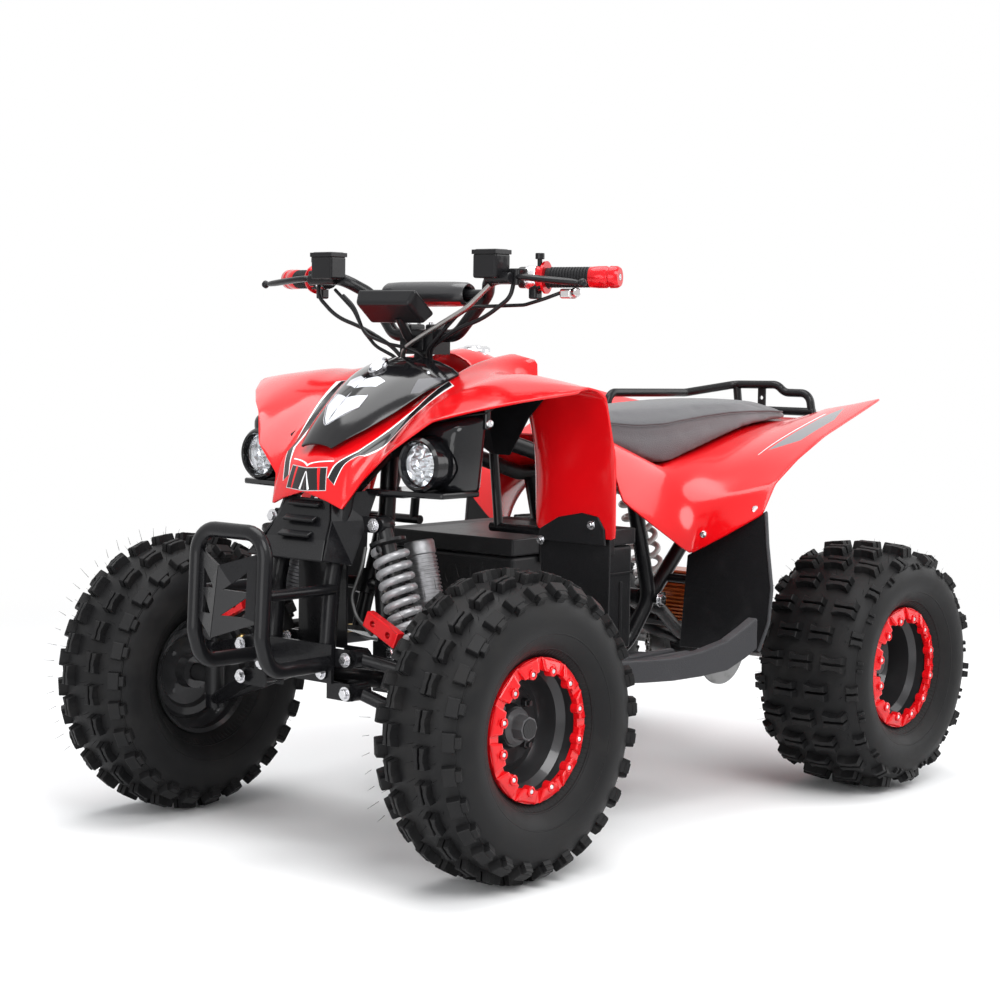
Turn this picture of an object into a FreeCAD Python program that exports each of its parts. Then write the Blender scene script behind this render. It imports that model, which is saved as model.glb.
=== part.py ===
import FreeCAD, Part
import math
import os

# Sport quad bike with an electric drive and a rigid rear axle.
# The model is laid out with X forward from the rear axle, Y to the left and Z up from the ground,
# and is moved to the bottom centre of its bounding box when it is written.

# Driving dimensions, millimetres
wheelbase = 1018.0
front_half_track = 378.0
rear_half_track = 390.0
front_tyre_radius = 242.0
front_tyre_width = 172.0
rear_tyre_radius = 231.0
rear_tyre_width = 225.0
rim_radius = 102.0
axle_lead = 18.0
layout_width = 1000.0
layout_height = 1000.0

layout_length = wheelbase - axle_lead

# Shared clearances and cutting overrun
seat_gap = 0.3
running_gap = 0.08
overrun = 20.0
bend_reach_share = 0.45

# Frame tubes and plates
frame_tube_radius = 14.0
brace_tube_radius = 10.0
frame_bend_radius = 60.0
frame_plate = 4.0
bar_stock_radius = 8.0
stud_radius = 9.0
stub_radius = 7.0
lug_boss_radius = 8.0
stub_length = 42.0
mount_plate = 6.0
stud_length = 26.0

# Steering column
stem_radius = 12.5
bush_radius = 21.0
bush_length = 40.0
pitman_reach = 50.0
pitman_half_spread = 20.0
pitman_margin = 12.0
pitman_plate = 8.0
pitman_pin_radius = 5.0
pitman_pin_height = 22.0

# Handlebar
bar_radius = 11.0
bar_bend_radius = 34.0
crossbar_radius = 8.0
pad_radius = 22.0
pad_length = 190.0
clamp_size = (44.0, 76.0, 40.0)
clamp_drop = 32.0
grip_radius = 17.0
grip_length = 118.0
grip_end = 6.0
grip_flange_radius = 24.0
grip_flange = 5.0
display_size = (26.0, 120.0, 62.0)
display_tilt = 50.0
display_foot_size = (5.0, 40.0, 26.0)
display_foot_rise = 6.0
display_leg_radius = 8.0
lever_radius = 5.0
lever_bend_radius = 20.0
lever_tip_offset = (72.0, -12.0, -11.0)
lever_knee_offset = (34.0, 26.0, 0.0)
lever_root_offset = (26.0, 2.0, 0.0)
perch_inset = 42.0
perch_length = 22.0
perch_wall = 6.0
perch_neck_size = (30.0, 24.0, 18.0)
perch_neck_offset = (4.0, -12.0, -4.0)
tank_size = (36.0, 50.0, 40.0)
tank_offset = (-8.0, -40.0, 14.0)
cable_radius = 3.5

# Front suspension
arm_tube_radius = 11.0
arm_eye_radius = 14.0
arm_eye_length = 34.0
pivot_pin_radius = 5.0
kingpin_radius = 7.0
kingpin_end = 5.0
kingpin_eye_radius = 16.0
kingpin_eye_height = 24.0
kingpin_relief_radius = 18.5
kingpin_inset = 78.0
upright_radius = 17.0
axle_shoulder_radius = 15.0
damper_pin_radius = 8.0
damper_eye_radius = 13.0
damper_eye_length = 27.0
spring_wire_radius = 4.2
spring_radius = 25.0
spring_turns = 7
damper_radius = 13.0
damper_rod_radius = 6.0
damper_body_share = 0.55
spring_seat = 6.0
spring_seat_margin = 5.0
upper_seat_place = 26.0
lower_seat_place = 34.0
reservoir_radius = 25.0
reservoir_bar_radius = 4.0
reservoir_bar_place = 27.5
knuckle_arm_reach = 52.0
knuckle_arm_inset = 12.0
knuckle_arm_half = 10.0
knuckle_tip_half = 8.0
knuckle_lug_radius = 11.0
knuckle_plate = 8.0
track_rod_radius = 7.0
track_ball_radius = 11.0
track_stud_radius = 4.0
track_eye_radius = 10.0
track_eye_length = 16.0
track_eye_place = 11.0
track_ball_place = 22.0
track_stud_gap = 3.0

# Wheels
spindle_radius = 9.0
spindle_nut = 10.0
spindle_nut_radius = 15.0
spindle_end = 6.0
hub_radius = 30.0
hub_length = 62.0
front_bead_share = 0.52
rear_bead_share = 0.62
tyre_wall = 9.0
rim_skin = 3.0
rim_lip = 2.0
rim_drop = 14.0
rim_flange_steps = (5.0, 6.0, 10.0, 14.0)
rim_well_steps = (11.0, 12.0, 13.0, 20.0, 21.0, 22.0)
ring_radius = 113.4
ring_bore_radius = 91.5
ring_thickness = 9.0
ring_seat_place = 5.0
ring_face_place = 12.5
ring_chamfer = 6.0
ring_inset = 1.0
ring_lobes = 12
ring_boss_radius = 8.8
ring_boss_place = 92.5
ring_boss_rise = 2.4
lug_sink = 6.0
front_pitches = 27
rear_pitches = 13
rear_axle_radius = 15.0
rear_axle_end = 20.0
sprocket_radius = 72.0
sprocket_thickness = 5.0
disc_radius = 80.0
disc_thickness = 4.0
axle_hub_radius = 28.0
axle_hub_length = 15.0
axle_hub_place = 52.25
chain_line = -62.0
chain_width = 14.0
chain_height = 12.0
chain_side = 2.6
chain_lift = 1.5
chain_pitch = 12.7
roller_radius = 3.6
motor_sprocket_radius = 24.0

# Rear drive
motor_core_radius = 50.0
motor_radius = 58.0
motor_length = 100.0
motor_fins = 13
motor_fin_pitch = 8.0
motor_fin = 3.6
motor_shaft_radius = 8.0
carrier_pin_radius = 8.0
carrier_pin_end = 8.0
carrier_side_gap = 6.0
carrier_tube_radius = 13.0
carrier_housing_radius = 30.0
carrier_housing_gap = 0.75
carrier_pivot_radius = 16.0
carrier_inner = 30.0
carrier_outer = 55.0
carrier_knee_shares = ((0.31, 0.25), (0.62, 0.71))
saddle_plate = 10.0
saddle_half = 30.0
saddle_foot_shares = (0.12, 0.24)
horn_plate = 6.0
horn_spread = 17.5
horn_half_root = 15.0
horn_half_tip = 11.0
horn_tip = 8.0
yoke_share = 0.48
yoke_radius = 11.0
yoke_end = 3.0
mount_pin_radius = 6.0
mount_pin_length = 41.0
rear_seat_radius = 32.0
rear_seat_place = 30.0
rear_damper_share = 0.5
rear_eye_radius = 16.0
rear_foot_eye_radius = 12.0
rear_eye_length = 28.0
rear_spring_radius = 27.0
rear_spring_wire_radius = 4.5
rear_spring_turns = 6

# Fairings, lamps and trim
panel = 4.0
flap = 4.0
hood_swell = 6.0
hood_peg_height_share = 0.7925
hood_peg_radius = 6.0
hood_peg_side = 36.0
tank_swell = 4.0
lamp_radius = 43.0
lamp_back_radius = 30.0
lamp_depth = 62.0
lamp_rim = 12.0
lamp_rim_half = 6.0
lamp_bore_radius = 36.0
lamp_bore_depth = 14.0
lamp_seam = 2.0
lamp_lens = 10.0
lamp_lens_place = 8.0
lamp_bore_length = 30.0
lamp_tray_size = (122.0, 148.0, 10.0)
lamp_back_size = (8.0, 148.0, 84.0)
lamp_cheek_size = (66.0, 9.0, 90.0)
lamp_tray_corner = (-102.0, -105.0, -52.0)
lamp_taper = 34.0
seat_shoulder = 14.0
battery_length = 335.0
battery_width = 300.0
battery_height = 190.0
battery_lid = 30.0
battery_lid_lip = 4.0
rack_tube_radius = 8.5
rack_bend_radius = 24.0
rack_leg_length = 44.0
strap_size = (4.0, 18.0)
strap_bore_radius = 4.25
strap_bore_drop = 26.0
bumper_tube_radius = 12.5
bumper_bend_radius = 40.0
shield_slot = 7.0
footrest_wall = 22.0
footrest_bar_radius = 9.0


def vector(x, y, z):
    return FreeCAD.Vector(x, y, z)


def spot(shares):
    """Place in the layout from its three shares."""
    return vector(layout_length * shares[0], layout_width * shares[1], layout_height * shares[2])


def spots(rows):
    return [spot(row) for row in rows]


def mirrored(shape):
    """The same shape on the other side of the bike."""
    return shape.mirror(vector(0, 0, 0), vector(0, 1, 0))


def both_sides(shape):
    return Part.makeCompound([shape, mirrored(shape)])


def joined(shapes):
    """One body from touching shapes."""
    return shapes[0].fuse(shapes[1:]).removeSplitter() if len(shapes) > 1 else shapes[0]


def rod(start, end, radius):
    """Round bar between two places."""
    run = end - start
    return Part.makeCylinder(radius, run.Length, start, run)


def disc(centre, axis, radius, thickness):
    """Round plate with its middle at the centre."""
    along = vector(axis.x, axis.y, axis.z).normalize()
    return Part.makeCylinder(radius, thickness, centre - along * (thickness / 2), along)


def block(size, corner):
    """Box from its three sizes and its lowest corner."""
    return Part.makeBox(size[0], size[1], size[2], corner)


def bent_path(points, bend_radius):
    """Straight runs joined by tangent arcs."""
    edges = []
    start = points[0]
    for before, corner, after in zip(points, points[1:], points[2:]):
        run_in = corner - before
        run_out = after - corner
        shorter = min(run_in.Length, run_out.Length)
        run_in.normalize()
        run_out.normalize()
        half_turn = run_in.getAngle(run_out) / 2
        setback = min(bend_radius * math.tan(half_turn), shorter * bend_reach_share)
        radius = setback / math.tan(half_turn)
        inward = (run_out - run_in).normalize()
        middle = corner + inward * (radius / math.cos(half_turn) - radius)
        arc_start = corner - run_in * setback
        arc_end = corner + run_out * setback
        edges.append(Part.LineSegment(start, arc_start).toShape())
        edges.append(Part.Arc(arc_start, middle, arc_end).toShape())
        start = arc_end
    edges.append(Part.LineSegment(start, points[-1]).toShape())
    return Part.Wire(edges)


def tube(points, radius, bend_radius):
    """Round tube bent along a row of places."""
    path = bent_path(points, bend_radius)
    circle = Part.Circle(points[0], points[1] - points[0], radius).toShape()
    return path.makePipeShell([Part.Wire([circle])], True, False)


def polygon(points):
    return Part.makePolygon(points + points[:1])


def plate(points, thickness_vector):
    """Flat plate from its outline."""
    return Part.Face(polygon(points)).extrude(thickness_vector)


def loft(sections, ruled):
    """Solid through closed outlines with as many corners each."""
    return Part.makeLoft([polygon(section) for section in sections], True, ruled)


def thick_section(y_share, rows, thickness):
    """Closed outline of a thin moulding at one place across the bike."""
    outer = [spot((x, y_share, z)) for x, z in rows]
    inner = []
    for index, point in enumerate(outer):
        before = outer[max(index - 1, 0)]
        after = outer[min(index + 1, len(outer) - 1)]
        run = (after - before).normalize()
        inner.append(point + vector(-run.z, 0, run.x) * thickness)
    return outer + inner[::-1]


def shell_across(rows, thickness):
    """Thin moulding through sections on both sides of the bike."""
    left = [(y, outline) for y, outline in rows]
    right = [(-y, outline) for y, outline in reversed(rows) if y > 0]
    return loft([thick_section(y, outline, thickness) for y, outline in right + left], True)


def revolved(profile, centre, axis_sign):
    """Solid of revolution about the wheel axis; the profile rows are radius and outboard place."""
    points = [centre + vector(radius, axis_sign * place, 0) for radius, place in profile]
    face = Part.Face(polygon(points))
    return face.revolve(centre, vector(0, 1, 0), 360)


def drilled(shape, start, end, radius):
    """Shape with a round bore between two places, run out past both."""
    run = end - start
    along = vector(run.x, run.y, run.z).normalize()
    tool = Part.makeCylinder(radius, run.Length + 2 * overrun, start - along * overrun, along)
    return shape.cut(tool)


def round_the_axle(shape, centre, count):
    """The shape repeated round a wheel axis."""
    copies = []
    for index in range(count):
        turned = shape.copy()
        turned.rotate(centre, vector(0, 1, 0), 360 * index / count)
        copies.append(turned)
    return copies


# Places that several pieces share

stem_foot_shares = (0.965, 0.0, 0.352)
stem_head_shares = (0.817237, 0.0, 0.815)
shield_edge_shares = ((1.086, 0.055, 0.560), (1.136, 0.085, 0.480))
stay_side_share = 0.070
brace_share = 0.432


def shield_normal():
    upper, lower = spots(shield_edge_shares)
    run = lower - upper
    return vector(-run.z, 0, run.x).normalize()


def shield_place(side_share):
    """Middle height of the front shield plate's face at one place across."""
    upper, lower = spots(shield_edge_shares)
    middle = (upper + lower) / 2
    return vector(middle.x, layout_width * side_share, middle.z)


def stem_axis():
    return (spot(stem_head_shares) - spot(stem_foot_shares)).normalize()


def stem_place(height_share):
    """Point of the steering axis at a share of the layout height."""
    foot = spot(stem_foot_shares)
    axis = stem_axis()
    return foot + axis * ((layout_height * height_share - foot.z) / axis.z)


def pitman_rear():
    """Direction square to the column, to its rear."""
    axis = stem_axis()
    return vector(-axis.z, 0, axis.x)


def front_centre():
    return vector(wheelbase, front_half_track, front_tyre_radius)


def rear_centre():
    return vector(0, rear_half_track, rear_tyre_radius)


def kingpin_foot(height):
    centre = front_centre()
    return vector(centre.x, centre.y - kingpin_inset, height)


# Frame

lower_rail_shares = ((1.108, 0.062, 0.298), (0.930, 0.100, 0.262), (0.372, 0.100, 0.262),
                     (0.322, 0.120, 0.356), (0.385, 0.120, 0.5817))
upper_rail_shares = ((1.066, 0.062, 0.575), (0.955, 0.058, 0.655), (0.800, 0.062, 0.690),
                     (0.640, 0.100, 0.640), (0.420, 0.120, 0.5817), (0.080, 0.120, 0.5817),
                     (-0.165, 0.112, 0.628))
front_upright_shares = ((1.104, 0.062, 0.300), (1.092, 0.062, 0.440), (1.060, 0.062, 0.580))
rear_upright_shares = ((0.985, 0.088, 0.273), (0.978, 0.066, 0.420), (0.955, 0.058, 0.655))
rear_brace_shares = ((0.322, 0.120, 0.356), (0.085, 0.120, 0.5817))
cross_shares = ((1.090, 0.062, 0.292), (0.985, 0.088, 0.273), (0.620, 0.100, 0.262), (0.400, 0.100, 0.262),
                (0.235, 0.120, 0.5817), (-0.120, 0.114, 0.618))
bush_height_shares = (0.690, 0.425)
bush_end_share = 0.05
arm_front_share = 1.090
arm_rear_share = 0.985
upper_pivot_share = 0.326
lower_pivot_share = 0.272
pivot_side_share = 0.122
lug_root_share = 0.072
lug_tip_share = 0.7
shock_top_shares = (1.030, 0.117, 0.535)
shock_foot_side_share = 0.192
shock_lug_root_share = 0.055
reservoir_shares = ((0.962, 0.128, 0.538), (0.962, 0.160, 0.425))
shield_slot_shares = (0.22, 0.50, 0.78)
shield_slot_side_share = 0.72
shock_rail_shares = ((0.955, 0.060, 0.535), (1.072, 0.062, 0.535))
carrier_pivot_shares = (0.322, 0.120, 0.356)
front_mount_shares = (1.113, 0.090, 0.284, 0.346)
stay_root_share = 1.094
lamp_tab_shares = (0.945, 1.010, 0.050, 0.140, 0.582)
flap_face_share = 0.7447
flap_bar_shares = (0.729, 0.512)
flap_pad_shares = (0.230, 0.320)
flap_inner_share = 0.084
flap_drop_shares = ((0.729, 0.084, 0.664), (0.729, 0.100, 0.512))
tail_face_share = 0.295
tail_bar_shares = (0.275, 0.392)
tail_pad_shares = (0.200, 0.310)
tail_inner_share = 0.120
stub_side_share = 0.067
frame_joint_shares = (0.825, 0.300)
upper_bush_end_shares = (0.857, 0.064, 0.690)
lower_bush_end_shares = (0.978, 0.064, 0.425)


def cross_member(x_share, y_share, z_share):
    return rod(spot((x_share, -y_share, z_share)), spot((x_share, y_share, z_share)), brace_tube_radius)


def bush_cross(share, end_shares):
    """Sleeve round the steering column with the bars that carry it from both sides."""
    centre = stem_place(share)
    sleeve = disc(centre, stem_axis(), bush_radius, bush_length)
    end = spot(end_shares)
    bar = rod(end, centre, brace_tube_radius)
    return [sleeve, bar, mirrored(bar)]


def lug_pair(centre, root, eye_radius, eye_length):
    """Pin along X and the two lugs that carry it from an inner place on the frame."""
    reach = eye_length / 2 + seat_gap
    half = vector(reach + frame_plate, 0, 0)
    solids = [rod(centre - half, centre + half, pivot_pin_radius)]
    for face in (centre.x - reach - frame_plate, centre.x + reach):
        low = centre.z - eye_radius
        high = centre.z + eye_radius
        outline = [vector(face, root, low), vector(face, centre.y, low),
                   vector(face, centre.y + eye_radius * lug_tip_share, centre.z),
                   vector(face, centre.y, high), vector(face, root, high)]
        solids.append(plate(outline, vector(frame_plate, 0, 0)))
    return solids


def arm_pivots():
    """Lugs on the left of the frame for the eyes of both suspension arms."""
    solids = []
    root = layout_width * lug_root_share
    for x_share in (arm_front_share, arm_rear_share):
        for z_share in (upper_pivot_share, lower_pivot_share):
            centre = spot((x_share, pivot_side_share, z_share))
            solids += lug_pair(centre, root, arm_eye_radius, arm_eye_length)
            middle = vector(centre.x, root + lug_boss_radius, centre.z)
            half = vector(arm_eye_length / 2 + seat_gap + frame_plate, 0, 0)
            solids.append(rod(middle - half, middle + half, lug_boss_radius))
    return solids


def shock_lugs():
    """Lugs for the upper end of the left damper, on a rail between the uprights."""
    root = layout_width * shock_lug_root_share
    rear, front = spots(shock_rail_shares)
    rail = rod(rear, front, brace_tube_radius)
    return [rail] + lug_pair(spot(shock_top_shares), root, damper_eye_radius, damper_eye_length)


def outrigger(face_share, bar_shares, pad_shares, inner_share):
    """Bar out to a flap with flat pads against its back."""
    x_share, z_share = bar_shares
    outer = spot((x_share, pad_shares[-1], z_share))
    inner = spot((x_share, inner_share, z_share))
    solids = [rod(inner, outer, bar_stock_radius)]
    for pad in pad_shares:
        start = spot((x_share, pad, z_share))
        face = spot((face_share, pad, z_share)) - vector(flap + 2 * seat_gap, 0, 0)
        solids.append(rod(start, face, stud_radius))
    return solids


def shield_stub():
    """Left stub that carries the front shield plate, square to it."""
    place = shield_place(stub_side_share)
    normal = shield_normal()
    return rod(place - normal * stub_length, place - normal * (flap + seat_gap), stub_radius)


def bumper_mount():
    """Flat plate across the front of the lower rails, and the studs for the bumper stays."""
    x_share, half, low, high = front_mount_shares
    corner = spot((x_share, -half, low))
    top = spot((x_share, half, high))
    face = Part.makeBox(mount_plate, top.y - corner.y, top.z - corner.z, corner)
    studs = []
    for side in (-1, 1):
        start = spot((stay_root_share, side * stay_side_share, brace_share))
        studs.append(rod(start, start + vector(stud_length, 0, 0), stud_radius))
    return [face] + studs


def lamp_tab():
    rear, front, inner, outer, top = lamp_tab_shares
    low = spot((rear, inner, top)) - vector(0, 0, frame_plate + seat_gap)
    high = spot((front, outer, top))
    return Part.makeBox(high.x - low.x, high.y - low.y, frame_plate, low)


def welded_frame():
    """Tube frame with its pivots, bushes and mounting bars."""
    side = []
    for shares in (lower_rail_shares, upper_rail_shares, front_upright_shares, rear_upright_shares,
                   rear_brace_shares):
        side.append(tube(spots(shares), frame_tube_radius, frame_bend_radius))
    side += arm_pivots() + shock_lugs()
    side += outrigger(flap_face_share, flap_bar_shares, flap_pad_shares, flap_inner_share)
    drop_top, drop_foot = spots(flap_drop_shares)
    side.append(rod(drop_top, drop_foot, bar_stock_radius))
    side += outrigger(tail_face_share, tail_bar_shares, tail_pad_shares, tail_inner_share)
    side += [shield_stub(), lamp_tab()]
    pieces = side + [mirrored(shape) for shape in side]
    for row in cross_shares:
        pieces.append(cross_member(*row))
    upper_bush, lower_bush = bush_height_shares
    pieces += bush_cross(upper_bush, upper_bush_end_shares)
    pieces += bush_cross(lower_bush, lower_bush_end_shares) + bumper_mount()
    pivot = spot(carrier_pivot_shares)
    half = vector(0, frame_tube_radius + carrier_pin_end, 0)
    pieces.append(rod(vector(pivot.x, -pivot.y, pivot.z) - half, pivot + half, carrier_pin_radius))
    body = pieces[0].fuse(pieces[1:])
    return drilled(body, stem_place(lower_bush - bush_end_share), stem_place(upper_bush + bush_end_share),
                   stem_radius + running_gap)


def frame_sections():
    """The frame parted at its bolted joints: front section, middle and rear section."""
    body = welded_frame()
    box = body.BoundBox
    joint_places = [layout_length * share for share in frame_joint_shares]
    ends = [box.XMax + overrun] + joint_places + [box.XMin - overrun]
    sections = []
    for high, low in zip(ends, ends[1:]):
        corner = vector(low + seat_gap / 2, box.YMin - overrun, box.ZMin - overrun)
        size = (high - low - seat_gap, box.YLength + 2 * overrun, box.ZLength + 2 * overrun)
        sections.append(body.common(block(size, corner)))
    return sections


# Steering

bar_path_shares = ((0.812, 0.000, 0.838), (0.812, 0.072, 0.838), (0.806, 0.136, 0.908),
                   (0.842, 0.170, 0.934), (0.770, 0.378, 0.936))
crossbar_shares = (0.806, 0.136, 0.908)
display_shares = (0.880, 0.0, 0.884)
cable_path_shares = ((0.8445, 0.2260, 0.9296), (0.8485, 0.2220, 0.9020), (0.8550, 0.1720, 0.8680),
                     (0.8520, 0.1040, 0.8480), (0.8445, 0.0430, 0.8170), (0.8290, 0.0235, 0.7860),
                     (0.8315, 0.0230, 0.7620))


def handlebar():
    """Column, clamp, bent bar, crossbar and the pitman plate with its two pins."""
    half = spots(bar_path_shares)
    whole = [vector(p.x, -p.y, p.z) for p in reversed(half[1:])] + half[1:]
    bar = tube(whole, bar_radius, bar_bend_radius)
    brace = spot(crossbar_shares)
    crossbar = rod(vector(brace.x, -brace.y, brace.z), brace, crossbar_radius)
    foot = spot(stem_foot_shares)
    column = rod(foot, spot(stem_head_shares), stem_radius)
    clamp = block(clamp_size, half[0] - vector(clamp_size[0] / 2, clamp_size[1] / 2, clamp_drop))
    axis = stem_axis()
    rear = pitman_rear()
    side = vector(0, 1, 0)
    corners = [foot - side * (stem_radius * 2) - rear * stem_radius,
               foot + side * (stem_radius * 2) - rear * stem_radius,
               foot + side * (pitman_half_spread + pitman_margin) + rear * (pitman_reach + pitman_margin),
               foot - side * (pitman_half_spread + pitman_margin) + rear * (pitman_reach + pitman_margin)]
    pitman = plate(corners, axis * -pitman_plate)
    pins = []
    for sign in (-1, 1):
        base = foot + rear * pitman_reach + side * (sign * pitman_half_spread)
        pins.append(rod(base - axis * pitman_plate, base + axis * pitman_pin_height, pitman_pin_radius))
    return joined([bar, crossbar, column, clamp, pitman] + pins)


def grip_run():
    """Outer end of the left outer run of the bar and the direction of that run."""
    inner, outer = spots(bar_path_shares)[3:]
    return outer, (outer - inner).normalize()


def grips():
    outer, along = grip_run()
    start = outer - along * grip_length
    sleeve = rod(start, outer + along * grip_end, grip_radius)
    flange = rod(start - along * grip_flange, start, grip_flange_radius)
    bored = drilled(joined([sleeve, flange]), start, outer - along * overrun, bar_radius + seat_gap)
    return both_sides(bored)


def bar_pad():
    middle = spot(crossbar_shares)
    middle.y = 0
    half = vector(0, pad_length / 2, 0)
    body = rod(middle - half, middle + half, pad_radius)
    return drilled(body, middle - half, middle + half, crossbar_radius + seat_gap)


def display():
    """Display case on its leg, with a foot against the clamp."""
    centre = spot(display_shares)
    thick, wide, tall = display_size
    case = block(display_size, vector(-thick / 2, -wide / 2, -tall / 2))
    case.rotate(vector(0, 0, 0), vector(0, 1, 0), display_tilt)
    case.translate(centre)
    face = spot(bar_path_shares[0]) + vector(clamp_size[0] / 2 + seat_gap, 0, display_foot_rise - clamp_drop)
    foot = block(display_foot_size, face - vector(0, display_foot_size[1] / 2, 0))
    middle = face + vector(display_foot_size[0] + display_leg_radius / 2, 0, display_foot_size[2] / 2)
    leg = rod(middle, centre, display_leg_radius)
    return joined([case, foot, leg])


def brake_control():
    """Left lever with its perch ring and fluid reservoir."""
    outer, along = grip_run()
    start = outer - along * (grip_length + grip_flange + perch_inset)
    end = start + along * perch_length
    middle = (start + end) / 2
    ring = rod(start, end, bar_radius + perch_wall)
    neck = block(perch_neck_size, middle + vector(*perch_neck_offset))
    tank = block(tank_size, middle + vector(*tank_offset))
    tip = outer + vector(*lever_tip_offset)
    knee = middle + vector(*lever_knee_offset)
    root = middle + vector(*lever_root_offset)
    lever = tube([root, knee, tip], lever_radius, lever_bend_radius)
    ball = Part.makeSphere(lever_radius + lever_radius / 2, tip)
    body = joined([ring, neck, tank, lever, ball])
    return drilled(body, start, end, bar_radius + seat_gap)


def brake_controls():
    return both_sides(brake_control())


def cables():
    """Cable from each control, down beside the column; its arcs are as large as its runs allow."""
    return both_sides(tube(spots(cable_path_shares), cable_radius, layout_height))


# Front suspension and steered hubs

upper_eye_share = 0.290
lower_eye_share = 0.198


def arm_leg_place(x_share, pivot_z_share, eye_z_share, side_share):
    """Point of one leg of an arm at a place across the bike."""
    eye = kingpin_foot(layout_height * eye_z_share)
    pivot = spot((x_share, pivot_side_share, pivot_z_share))
    run = eye - pivot
    return pivot + run * ((layout_width * side_share - pivot.y) / run.y)


def damper_bar_ends():
    """Places on both legs of the upper arm that the lower damper pin joins."""
    front = arm_leg_place(arm_front_share, upper_pivot_share, upper_eye_share, shock_foot_side_share)
    rear = arm_leg_place(arm_rear_share, upper_pivot_share, upper_eye_share, shock_foot_side_share)
    return front, rear


def shock_foot():
    """Lower damper eye, between the legs of the upper arm."""
    front, rear = damper_bar_ends()
    return (front + rear) / 2


def control_arm(pivot_z_share, eye_z_share, post_side):
    """Two-legged arm from its frame eyes to the eye round the kingpin."""
    eye = kingpin_foot(layout_height * eye_z_share)
    up = vector(0, 0, kingpin_eye_height / 2)
    pieces = [rod(eye - up, eye + up, kingpin_eye_radius)]
    bores = [rod(eye - up * 2, eye + up * 2, kingpin_radius + running_gap)]
    for x_share in (arm_front_share, arm_rear_share):
        pivot = spot((x_share, pivot_side_share, pivot_z_share))
        half = vector(arm_eye_length / 2, 0, 0)
        pieces.append(rod(pivot - half, pivot + half, arm_eye_radius))
        pieces.append(rod(pivot, eye, arm_tube_radius))
        bores.append(rod(pivot - half * 2, pivot + half * 2, pivot_pin_radius + running_gap))
    relief = up * post_side
    bores.append(rod(eye + relief, eye + relief * 3, kingpin_relief_radius))
    return pieces, bores


def control_arms():
    upper, bores = control_arm(upper_pivot_share, upper_eye_share, -1)
    front, rear = damper_bar_ends()
    upper.append(rod(front, rear, damper_pin_radius))
    upper_arm = upper[0].fuse(upper[1:]).cut(bores)
    lower, bores = control_arm(lower_pivot_share, lower_eye_share, 1)
    lower_arm = lower[0].fuse(lower[1:]).cut(bores)
    return Part.makeCompound([upper_arm, lower_arm, mirrored(upper_arm), mirrored(lower_arm)])


def steering_lug():
    """Kingpin at the top of the left steering arm, and the centre of the lug at its rear end."""
    post = kingpin_foot(layout_height * upper_eye_share - kingpin_eye_height / 2 - seat_gap)
    return post, post + vector(-knuckle_arm_reach, -knuckle_arm_inset, 0)


def knuckle():
    """Left steered upright: kingpin, spindle and rearward steering arm."""
    upper = layout_height * upper_eye_share
    lower = layout_height * lower_eye_share
    half_eye = kingpin_eye_height / 2
    reach = half_eye + kingpin_end
    pin = rod(kingpin_foot(lower - reach), kingpin_foot(upper + reach), kingpin_radius)
    post_top, lug = steering_lug()
    post = rod(kingpin_foot(lower + half_eye + seat_gap), post_top, upright_radius)
    centre = front_centre()
    root = vector(centre.x, kingpin_foot(0).y, centre.z)
    shoulder = rod(root, centre - vector(0, hub_length / 2 + seat_gap, 0), axle_shoulder_radius)
    spindle = rod(root, centre + vector(0, hub_length / 2 + spindle_end, 0), spindle_radius)
    nut_start = centre + vector(0, hub_length / 2 + seat_gap, 0)
    nut = rod(nut_start, nut_start + vector(0, spindle_nut, 0), spindle_nut_radius)
    down = vector(0, 0, -knuckle_plate)
    lug_disc = rod(lug + down, lug, knuckle_lug_radius)
    root_half = vector(0, knuckle_arm_half, 0)
    tip_half = vector(0, knuckle_tip_half, 0)
    arm = plate([post_top - root_half, post_top + root_half, lug + tip_half, lug - tip_half], down)
    return joined([pin, post, shoulder, spindle, nut, arm, lug_disc])


def tie_rod():
    """Left track rod from the pitman pin to the stud above the steering arm."""
    axis = stem_axis()
    inner = spot(stem_foot_shares) + pitman_rear() * pitman_reach + vector(0, pitman_half_spread, 0)
    inner += axis * track_eye_place
    eye = disc(inner, axis, track_eye_radius, track_eye_length)
    lug = steering_lug()[1] + vector(0, 0, seat_gap)
    outer = lug + vector(0, 0, track_ball_place)
    ball = Part.makeSphere(track_ball_radius, outer)
    stud = rod(lug + vector(0, 0, track_stud_gap), outer, track_stud_radius)
    body = joined([eye, rod(inner, outer, track_rod_radius), ball, stud])
    half = axis * (track_eye_length / 2)
    return drilled(body, inner - half, inner + half, pitman_pin_radius + running_gap)


def shock_line():
    """Upper and lower ends of the left damper and its direction downwards."""
    top = spot(shock_top_shares)
    foot = shock_foot()
    return top, foot, (foot - top).normalize()


def reservoir(top, along):
    """Reservoir beside the damper and the bar that ties it to the upper spring seat."""
    high, low = spots(reservoir_shares)
    body = rod(high, low, reservoir_radius)
    drop = top + along * reservoir_bar_place
    run = low - high
    tie = high + run * ((drop.z - high.z) / run.z)
    return [body, rod(drop, tie, reservoir_bar_radius)]


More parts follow.
